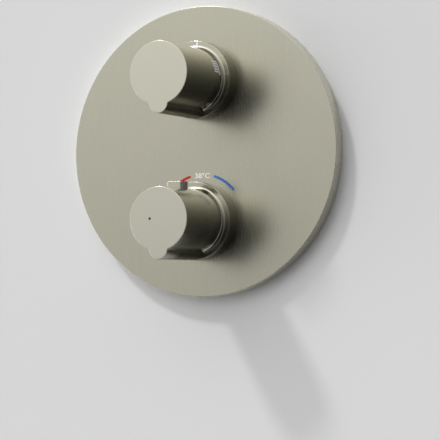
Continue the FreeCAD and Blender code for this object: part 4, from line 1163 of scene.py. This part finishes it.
@dataclass
class TemperatureKnob(Knob):
    """Knob with the safety button's slot, its guide hole and the small hole in the face."""

    shape: ButtonShape = field(default_factory=ButtonShape)
    slot_levels: tuple[tuple[float, float], ...] = (
        (18.6 * MM, 0.25 * MM), (23.15 * MM, 0.25 * MM), (23.6 * MM, 0.55 * MM),
        (27.0 * MM, 0.55 * MM))
    guide_radius: float = 2.3 * MM
    guide_from: float = 9.1 * MM
    guide_to: float = 14.6 * MM
    face_hole: float = 0.9 * MM
    face_hole_x: float = -6.9 * MM
    face_hole_depth: float = 6.0 * MM

    def cutters(self) -> list[Surface]:
        """The grub screw's hole, the button's slot and guide hole, and the face hole.

        The slot is the button's plan, grown by the play that each of its levels gives.

        Returns:
            Points and quads of each cutter.
        """
        z = self.height
        slot = [self.shape.ring(z + level, play) for level, play in self.slot_levels]
        low, high = (self.shape.pole(z + self.slot_levels[end][0]) for end in (0, -1))
        guide = upright_rod(self.guide_radius, self.shape.middle, z + self.guide_from,
                            z + self.guide_to)
        near, far = self.face - 1 * MM, self.face + self.face_hole_depth
        drill = np.array([(0.0, near), (self.face_hole, near), (self.face_hole, far), (0.0, far)])
        hole = turned(drill, self.face_hole_x, z, segments=40)
        return super().cutters() + [sweep_rows([low, *slot, high]), guide, hole]


@dataclass
class SafetyButton:
    """Push-button on top of the temperature knob, with its skirt, stem and latch finger."""

    height: float
    material: bpy.types.Material
    shape: ButtonShape = field(default_factory=ButtonShape)
    top: float = 28.3 * MM
    edge: float = 0.45 * MM
    crown: float = 0.08
    skirt_top: float = 18.2 * MM
    skirt: float = 1.2 * MM
    skirt_reach: float = 1.5 * MM
    chamfer: float = 0.1 * MM
    stem_radius: float = 2.2 * MM
    stem_end: float = 12.3 * MM
    finger_half: float = 2.5 * MM
    finger_corner: float = 0.2 * MM
    finger_near: float = 5.0 * MM
    finger_far: float = -21.6 * MM
    side_rings: int = 6
    edge_rings: int = 8
    crown_shares: tuple[float, ...] = (0.75, 0.5, 0.25)

    def _cap(self) -> Surface:
        """Cap and skirt: the grooved plan carried up, with a rounded and faintly crowned top.

        Over the edge, at turn t, the plan rises by edge sin(t) and draws in by edge (1 - cos t),
        while its grooves fade by cos(t)^2. The crown falls by the square of the way to the rim.

        Returns:
            Points and quads.
        """
        ring, chamfer = self.shape.ring, self.chamfer
        ledge = self.height + self.skirt_top
        low, top = ledge - self.skirt, self.height + self.top
        shoulder = top - self.edge
        rows = [self.shape.pole(low), ring(low, self.skirt_reach),
                ring(ledge - chamfer, self.skirt_reach), ring(ledge, self.skirt_reach - chamfer),
                ring(ledge, chamfer / 2), ring(ledge + chamfer, 0.0, 1.0)]
        rows += [ring(z, 0.0, 1.0)
                 for z in np.linspace(ledge + 10 * chamfer, shoulder - chamfer, self.side_rings)]
        rows += [ring(shoulder + self.edge * math.sin(turn) * (1 - self.crown),
                      -self.edge * (1 - math.cos(turn)), math.cos(turn) ** 2)
                 for turn in np.linspace(0, math.pi / 2, self.edge_rings)]
        rim, middle = rows[-1], self.shape.pole(top)
        for share in self.crown_shares:
            row = middle + (rim - middle) * share
            row[:, 2] = top - self.edge * self.crown * share ** 2
            rows.append(row)
        return sweep_rows(rows + [middle])

    def _finger(self) -> Surface:
        """Flat bar that runs back from the skirt to the latch.

        Returns:
            Points and quads.
        """
        high = self.height + self.skirt_top - self.chamfer
        low = high - self.skirt + 2 * self.chamfer
        half, corner = self.finger_half, self.finger_corner
        corners = rounded([(-half, low, corner), (half, low, corner),
                           (half, high, corner), (-half, high, corner)], steps=4)
        pole = 0 * corners + corners.mean(0)
        near = self.shape.middle + self.finger_near
        return sweep_rows([at_depth(pole, near), at_depth(corners, near),
                           at_depth(corners, self.finger_far), at_depth(pole, self.finger_far)])

    def build(self) -> bpy.types.Object:
        """Builds the button with its stem and finger.

        Returns:
            The finished piece.
        """
        stem_top = self.height + self.skirt_top - self.skirt + 2 * self.chamfer
        stem = upright_rod(self.stem_radius, self.shape.middle, self.height + self.stem_end,
                           stem_top)
        points, faces = joined(self._cap(), stem, self._finger())
        piece = make_piece("safety_button_cap", points, faces, self.material, Body.BUTTON,
                           sharp=40.0)
        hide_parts("safety_button")
        return piece


# ------------------------------------------------------------------ printed marks


def film(name: str, outer: Array, inner: Array, material: bpy.types.Material, body: Body) -> bpy.types.Object:
    """Closed thin layer between two grids of places, with walls round its edge.

    Args:
        name: name of the piece.
        outer: rows x columns x 3 places of the visible face.
        inner: the same grid just inside the surface that carries it.
        material: its ink.
        body: the moving group it rides on.

    Returns:
        The finished piece.
    """
    rows, columns = outer.shape[:2]
    count = rows * columns
    front = grid_faces(rows, columns, False)
    border = np.concatenate([np.arange(columns), np.arange(1, rows) * columns + columns - 1,
                             (rows - 1) * columns + np.arange(columns - 2, -1, -1),
                             np.arange(rows - 2, 0, -1) * columns])
    following = np.roll(border, -1)
    wall = np.stack([border, following, following + count, border + count], -1)
    points = np.vstack([outer.reshape(-1, 3), inner.reshape(-1, 3)])
    faces = np.vstack([front, front[:, ::-1] + count, wall])
    return make_piece(name, points, faces, material, body)


@dataclass
class PlateMarks:
    """Marks on the disc round the temperature knob: hot arc, cold arc and the safe temperature."""

    red: bpy.types.Material
    blue: bpy.types.Material
    white: bpy.types.Material
    axis_height: float = -AXIS_HEIGHT
    radius: float = 35.3 * MM
    stroke: float = 1.95 * MM
    first: float = 15.7
    last: float = 49.2
    surface: float = DISC_FRONT
    raised: float = 0.04 * MM
    text_x: float = 0.3 * MM
    text_rise: float = 34.6 * MM
    text_width: float = 12.6 * MM
    text_height: float = 4.2 * MM
    text_weight: float = 0.026
    arc_steps: int = 121
    bluntness: float = 0.0004

    def arc(self, side: Side, material: bpy.types.Material) -> bpy.types.Object:
        """A band of the circle about the knob's axis, with rounded ends.

        At angle a the band's half width is half the stroke times sqrt(1 - e^2), where e runs
        from 0 to 1 over the last half stroke at each end. The bluntness keeps the very end open.

        Args:
            side: the side of the 38 degree mark on which it lies.
            material: its ink.

        Returns:
            The finished piece.
        """
        angle = np.radians(np.linspace(self.first, self.last, self.arc_steps))
        half = self.stroke / 2
        from_end = np.minimum(angle - angle[0], angle[-1] - angle) * self.radius
        inset = np.clip(1 - from_end / half, 0, 1)
        width = half * np.sqrt(np.maximum(1 - inset ** 2, self.bluntness))
        across = np.linspace(-1, 1, 5)[:, None]
        radius = self.radius + across * width
        x = side.value * radius * np.sin(angle)
        z = self.axis_height + radius * np.cos(angle)
        outer = np.stack([x, np.full(x.shape, self.surface - self.raised), z], -1)
        inner = outer.copy()
        inner[..., 1] = self.surface + self.raised
        return film(f"{side.name.lower()}_arc", outer, inner, material, Body.VALVE)

    def temperature(self) -> bpy.types.Object:
        """The safe temperature, as a thin raised mesh fitted to its place.

        Returns:
            The finished piece.
        """
        curve = bpy.data.curves.new("temperature_figure", "FONT")
        curve.body = "38°C"
        curve.resolution_u = 6
        curve.offset = self.text_weight
        curve.extrude = 0.01
        maker = bpy.data.objects.new("temperature_maker", curve)
        bpy.context.scene.collection.objects.link(maker)
        mesh = baked(maker)
        bpy.data.objects.remove(maker)
        weld(mesh)
        flat = np.empty(len(mesh.vertices) * 3, dtype=np.float32)
        mesh.vertices.foreach_get("co", flat)
        flat = flat.reshape(-1, 3)
        low, high = flat.min(0), flat.max(0)
        share = (flat - low) / (high - low)
        placed = np.stack([
            self.text_x + (share[:, 0] - 0.5) * self.text_width,
            self.surface + self.raised * (1 - 2 * share[:, 2]),
            self.axis_height + self.text_rise + (share[:, 1] - 0.5) * self.text_height], -1)
        mesh.vertices.foreach_set("co", placed.astype(np.float32).ravel())
        mesh.update()
        mesh.name = "temperature_figure"
        return finish_piece(mesh, "temperature_figure", self.white, Body.VALVE)

    def build(self) -> None:
        """Builds both arcs and the figure."""
        self.arc(Side.HOT, self.red)
        self.arc(Side.COLD, self.blue)
        self.temperature()


@dataclass
class FlowMarks:
    """Marks on the flow knob: the off tick on its flange and the shower symbol on its side."""

    material: bpy.types.Material
    axis_height: float = AXIS_HEIGHT
    knob_radius: float = KNOB_RADIUS
    flange_face: float = FLANGE_FRONT
    raised: float = 0.04 * MM
    tick_angle: float = 5.0
    tick_width: float = 1.35 * MM
    tick_near: float = 25.3 * MM
    tick_far: float = 28.5 * MM
    head_angles: tuple[float, float] = (57.0, 85.0)
    head_depths: tuple[float, float] = (-30.1 * MM, -28.5 * MM)
    jet_angles: tuple[float, float] = (59.5, 79.6)
    jet_depths: tuple[float, float] = (-37.0 * MM, -30.8 * MM)
    jet_count: int = 5
    jet_width: float = 1.35 * MM

    def tick(self) -> bpy.types.Object:
        """Short radial bar on the flange's flat ring.

        Returns:
            The finished piece.
        """
        turn = math.radians(self.tick_angle)
        along = np.array([math.sin(turn), 0.0, math.cos(turn)])
        across = np.array([math.cos(turn), 0.0, -math.sin(turn)])
        middle = np.array([0.0, self.flange_face, self.axis_height])
        reach = np.linspace(self.tick_near, self.tick_far, 9)[:, None, None]
        spread = np.linspace(-0.5, 0.5, 5)[None, :, None] * self.tick_width
        bar = middle + along * reach + across * spread
        lift = (0.0, self.raised, 0.0)
        return film("off_tick", bar - lift, bar + lift, self.material, Body.FLOW)

    def _patch(self, name: str, angles: tuple[float, float],
               depths: tuple[float, float]) -> bpy.types.Object:
        """Patch of the knob's cylinder: x = r sin(a), z = r cos(a) from its axis.

        Args:
            name: name of the piece.
            angles: its two sides, in degrees from straight up.
            depths: its front and back end.

        Returns:
            The finished piece.
        """
        angle = np.radians(np.linspace(*angles, 41))[None]
        depth = np.linspace(*depths, 5)[:, None]
        outer, inner = (
            np.stack([radius * np.sin(angle) + 0 * depth, depth + 0 * angle,
                      self.axis_height + radius * np.cos(angle) + 0 * depth], -1)
            for radius in (self.knob_radius + self.raised, self.knob_radius - self.raised))
        return film(name, outer, inner, self.material, Body.FLOW)

    def build(self) -> None:
        """Builds the tick, the shower head and its jets."""
        self.tick()
        self._patch("shower_head_mark", self.head_angles, self.head_depths)
        half = math.degrees(self.jet_width / 2 / self.knob_radius)
        for number, angle in enumerate(np.linspace(*self.jet_angles, self.jet_count), 1):
            self._patch(f"shower_jet_mark_{number}", (angle - half, angle + half),
                        self.jet_depths)


# ------------------------------------------------------------------ CAD nodes


@dataclass
class HiddenParts:
    """Finishes for the nodes that keep their CAD shape."""

    finishes: dict[str, bpy.types.Material]

    def dress(self) -> None:
        """Gives every kept node the finish of its material slot in the record."""
        slots = {part["node"]: part["material_slot"] for part in frame["record"]["subparts"]}
        for node, piece in frame["nodes"].items():
            material = self.finishes.get(slots[node])
            if material is None:
                LOG.warning("no finish for %s", node)
                continue
            for place in piece.material_slots:
                place.material = material
        LOG.info("dressed %d CAD nodes", len(frame["nodes"]))


# ------------------------------------------------------------------ studio


def direction(azimuth: float, rise: float) -> Place:
    """Unit vector at degrees from the front towards the right, and degrees above the level."""
    turn, lift = math.radians(azimuth), math.radians(rise)
    return (math.sin(turn) * math.cos(lift), -math.cos(turn) * math.cos(lift), math.sin(lift))


@dataclass(frozen=True)
class Glow:
    """Soft bright patch of the air, at an azimuth from the front and a rise, in degrees."""

    azimuth: float
    rise: float
    strength: float


@dataclass
class Studio:
    """Wall, floor, soft lights and the camera at the photograph's angle."""

    target: Place = (15.04 * MM, -12.0 * MM, -52.15 * MM)
    azimuth: float = 26.116
    elevation: float = -1.942
    distance: float = 1.537
    lens: float = 167.5
    sensor: float = 36.0
    clip: tuple[float, float] = (0.05, 20.0)
    floor_height: float = -3.0
    floor_reach: float = 1.1
    reach: float = 2.2
    cut_out: float = 106.5 * MM
    wall_steps: int = 96
    wall_turn: float = 0.01
    wall_paint: StagePaint = StagePaint("wall_paint", (0.825, 0.825, 0.83), one_sided=True)
    floor_paint: StagePaint = StagePaint("floor_paint", (0.74, 0.74, 0.74))
    key_from: Place = (-0.43, -0.46, 0.79)
    key_spread: float = 6.0
    key_strength: float = 1.05
    rear_place: Place = (0.9, 1.8, 1.3)
    rear_size: tuple[float, float] = (1.4, 1.2)
    rear_power: float = 30.0
    glow_tightness: float = 10.0
    glows: tuple[Glow, ...] = (
        Glow(-80.0, -12.0, 3.2), Glow(-30.0, 15.0, 0.81), Glow(45.0, 15.0, 0.14),
        Glow(-30.0, 42.0, 0.9), Glow(-6.0, 42.0, 1.45), Glow(45.0, 42.0, 0.5),
        Glow(-50.0, -35.0, 0.3), Glow(180.0, 20.0, 1.3), Glow(-125.0, 15.0, 1.1),
        Glow(130.0, 35.0, 1.1))

    def _panel(self, name: str, surface: Surface, finish: StagePaint) -> None:
        """Flat stage panel.

        Args:
            name: name of the panel.
            surface: its points and quads.
            finish: its paint.
        """
        points, faces = surface
        mesh = bpy.data.meshes.new(name)
        mesh.from_pydata(points.tolist(), [], faces.tolist())
        mesh.materials.append(finish.material())
        panel = bpy.data.objects.new(name, mesh)
        bpy.context.scene.collection.objects.link(panel)

    def _lamp(self, data: bpy.types.Light, place: Place, power: float) -> None:
        """Lamp at a place, turned towards the valve.

        Args:
            data: the kind of lamp, with its size set.
            place: where it stands; of a sun, only the direction counts.
            power: its watts, or a sun's strength.
        """
        data.energy = power
        lamp = bpy.data.objects.new(data.name, data)
        lamp.location = place
        lamp.rotation_euler = Vector(place).to_track_quat("Z", "Y").to_euler()
        bpy.context.scene.collection.objects.link(lamp)

    def _wall(self) -> Surface:
        """Wall in the plane y = 0 with the round cut-out in which the concealed body sits.

        Each ray from the middle runs from the cut-out's edge to the wall's own edge, where it has
        gone the shorter of the ways to the side and to the top or bottom. The angles start a
        little off level, so that no ray is parallel to an edge.

        Returns:
            Points and quads that face the front.
        """
        angle = np.linspace(0, 2 * math.pi, self.wall_steps, endpoint=False) + self.wall_turn
        ray = np.stack([np.cos(angle), 0 * angle, np.sin(angle)], -1)
        height = np.where(ray[:, 2] > 0, self.reach, -self.floor_height)
        way = np.minimum(self.reach / np.abs(ray[:, 0]), height / np.abs(ray[:, 2]))
        points, faces = sweep_rows([ray * self.cut_out, ray * way[:, None]])
        return points, faces[:, ::-1]

    def stage(self) -> None:
        """Builds the wall and the floor."""
        self._panel("studio_wall", self._wall(), self.wall_paint)
        near, low = self.floor_reach, self.floor_height
        corners = [(-near, -near, low), (near, -near, low), (near, near, low), (-near, near, low)]
        self._panel("studio_floor", (np.array(corners), np.array([[0, 1, 2, 3]])),
                    self.floor_paint)

    def world(self) -> None:
        """Soft air in front of the wall: the sum of the glows.

        A glow of strength s towards g adds s e^(k (d.g - 1)) in the direction d.
        """
        world = bpy.data.worlds.new("studio_air")
        world.use_nodes = True
        bpy.context.scene.world = world
        world.node_tree.nodes.clear()
        air = Shader.on_tree(world.node_tree)
        place = air.node("ShaderNodeTexCoord", {}, {}, "Generated")
        patches = []
        for glow in self.glows:
            towards = direction(glow.azimuth, glow.rise)
            nearness = air.node("ShaderNodeVectorMath", {"operation": "DOT_PRODUCT"},
                                {0: place, 1: towards}, "Value")
            patches.append(glow.strength * math.e ** ((nearness - 1.0) * self.glow_tightness))
        light = air.node("ShaderNodeBackground", {}, {"Color": sum(patches), "Strength": 1.0})
        out = air.tree.nodes.new("ShaderNodeOutputWorld")
        air.feed(out.inputs["Surface"], light)

    def lights(self) -> None:
        """Weak key light that casts the knobs' shadow, and a rear light behind the wall."""
        key = bpy.data.lights.new("key_light", "SUN")
        key.angle = math.radians(self.key_spread)
        self._lamp(key, self.key_from, self.key_strength)
        rear = bpy.data.lights.new("rear_softbox", "AREA")
        rear.shape = "RECTANGLE"
        rear.size, rear.size_y = self.rear_size
        self._lamp(rear, self.rear_place, self.rear_power)

    def camera(self) -> None:
        """Camera at the photograph's azimuth, elevation and distance."""
        data = bpy.data.cameras.new("photo_camera")
        data.lens = self.lens
        data.sensor_width = self.sensor
        data.clip_start, data.clip_end = self.clip
        back = Vector(direction(self.azimuth, self.elevation))
        camera = bpy.data.objects.new("photo_camera", data)
        camera.location = Vector(self.target) + back * self.distance
        camera.rotation_euler = (-back).to_track_quat("-Z", "Y").to_euler()
        bpy.context.scene.collection.objects.link(camera)
        bpy.context.scene.camera = camera

    def build(self) -> None:
        """Sets up the whole studio."""
        self.stage()
        self.world()
        self.lights()
        self.camera()
        bpy.context.scene.view_settings.view_transform = "Standard"


# ------------------------------------------------------------------ the valve


def finishes() -> dict[str, bpy.types.Material]:
    """Materials of all the metal, plastic and rubber, by the record's slot names.

    Returns:
        Slot name to material.
    """
    made = {
        # painted highlight: beyond this radius the disc's rim takes the lighter rim colour
        "plate_nickel": BrushedNickel("plate_plating", Grain.STRAIGHT, rim_highlight_radius=109.7 * MM),
        # painted shade: the collars are coloured darker than the other nickel, standing in for the shade they
        # lie in
        "collar_nickel": BrushedNickel("collar_plating_painted_shade", Grain.TURNED, (0.265, 0.255, 0.195),
                                       (0.295, 0.285, 0.222), roughness=0.21),
        # painted light: the knobs' front faces take the lighter face colour
        "knob_nickel": BrushedNickel("knob_plating", Grain.TURNED, roughness=0.21,
                                     face_plane=KNOB_FACE),
        "button_nickel": BrushedNickel("button_plating", Grain.STRAIGHT, roughness=0.36),
        "brass": TurnedMetal("turned_brass", (0.80, 0.60, 0.28), (0.55, 0.38, 0.17), 0.25),
        "cast_brass": CastBrass(),
        "copper": TurnedMetal("drawn_copper", (0.80, 0.45, 0.30), (0.45, 0.24, 0.15), 0.25),
        "steel": TurnedMetal("stainless_steel", (0.62, 0.63, 0.64), (0.45, 0.46, 0.47), 0.26),
        "zinc_steel": Spangle(),
        "ceramic": Moulded("alumina", (0.86, 0.85, 0.80), (0.80, 0.79, 0.74),
                           roughness=0.2, texture_scale=700.0, texture_depth=0.000002),
        "black_plastic": Moulded("black_nylon", (0.035, 0.035, 0.038), (0.05, 0.05, 0.052),
                                 roughness=0.5, texture_scale=1800.0, texture_depth=0.00002),
        "grey_plastic": Moulded("grey_acetal", (0.46, 0.47, 0.48), (0.40, 0.41, 0.42),
                                roughness=0.42, texture_scale=1500.0, texture_depth=0.00001),
        "seal_rubber": Moulded("seal_rubber", (0.022, 0.022, 0.022), (0.035, 0.035, 0.034),
                               roughness=0.62, texture_scale=1400.0, texture_depth=0.00002),
        "gasket_foam": Moulded("gasket_foam", (0.10, 0.10, 0.105), (0.07, 0.07, 0.07),
                               roughness=0.9, texture_scale=1100.0, texture_depth=0.0002),
        "membrane_rubber": Moulded("membrane_rubber", (0.17, 0.21, 0.27), (0.14, 0.17, 0.22),
                                   roughness=0.6, texture_scale=900.0, texture_depth=0.00004),
    }
    return {slot: finish.material() for slot, finish in made.items()}


def build_valve() -> None:
    """Builds every visible piece in order and dresses the rest."""
    materials = finishes()
    HiddenParts(materials).dress()
    TrimDisc(materials["plate_nickel"]).build()
    for name, height in (("flow", AXIS_HEIGHT), ("temperature", -AXIS_HEIGHT)):
        Collar(f"{name}_ring", f"{name}_collar", height, materials["collar_nickel"]).build()
    Knob("flow_handle", "flow_knob", Body.FLOW, AXIS_HEIGHT, materials["knob_nickel"]).build()
    TemperatureKnob("temperature_handle", "temperature_knob", Body.TEMPERATURE, -AXIS_HEIGHT,
                    materials["knob_nickel"]).build()
    SafetyButton(-AXIS_HEIGHT, materials["button_nickel"]).build()
    white, red, blue = (Paint(name, colour).material() for name, colour in (
        ("white_ink", (0.97, 0.97, 0.95)), ("red_ink", (0.56, 0.012, 0.010)),
        ("blue_ink", (0.085, 0.24, 0.78))))
    PlateMarks(red, blue, white).build()
    FlowMarks(white).build()


def main() -> None:
    """Builds the valve and its studio."""
    logging.basicConfig(level=logging.INFO, format="%(name)s: %(message)s")
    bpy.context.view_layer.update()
    build_valve()
    Studio().build()


if __name__ == "__main__":
    main()
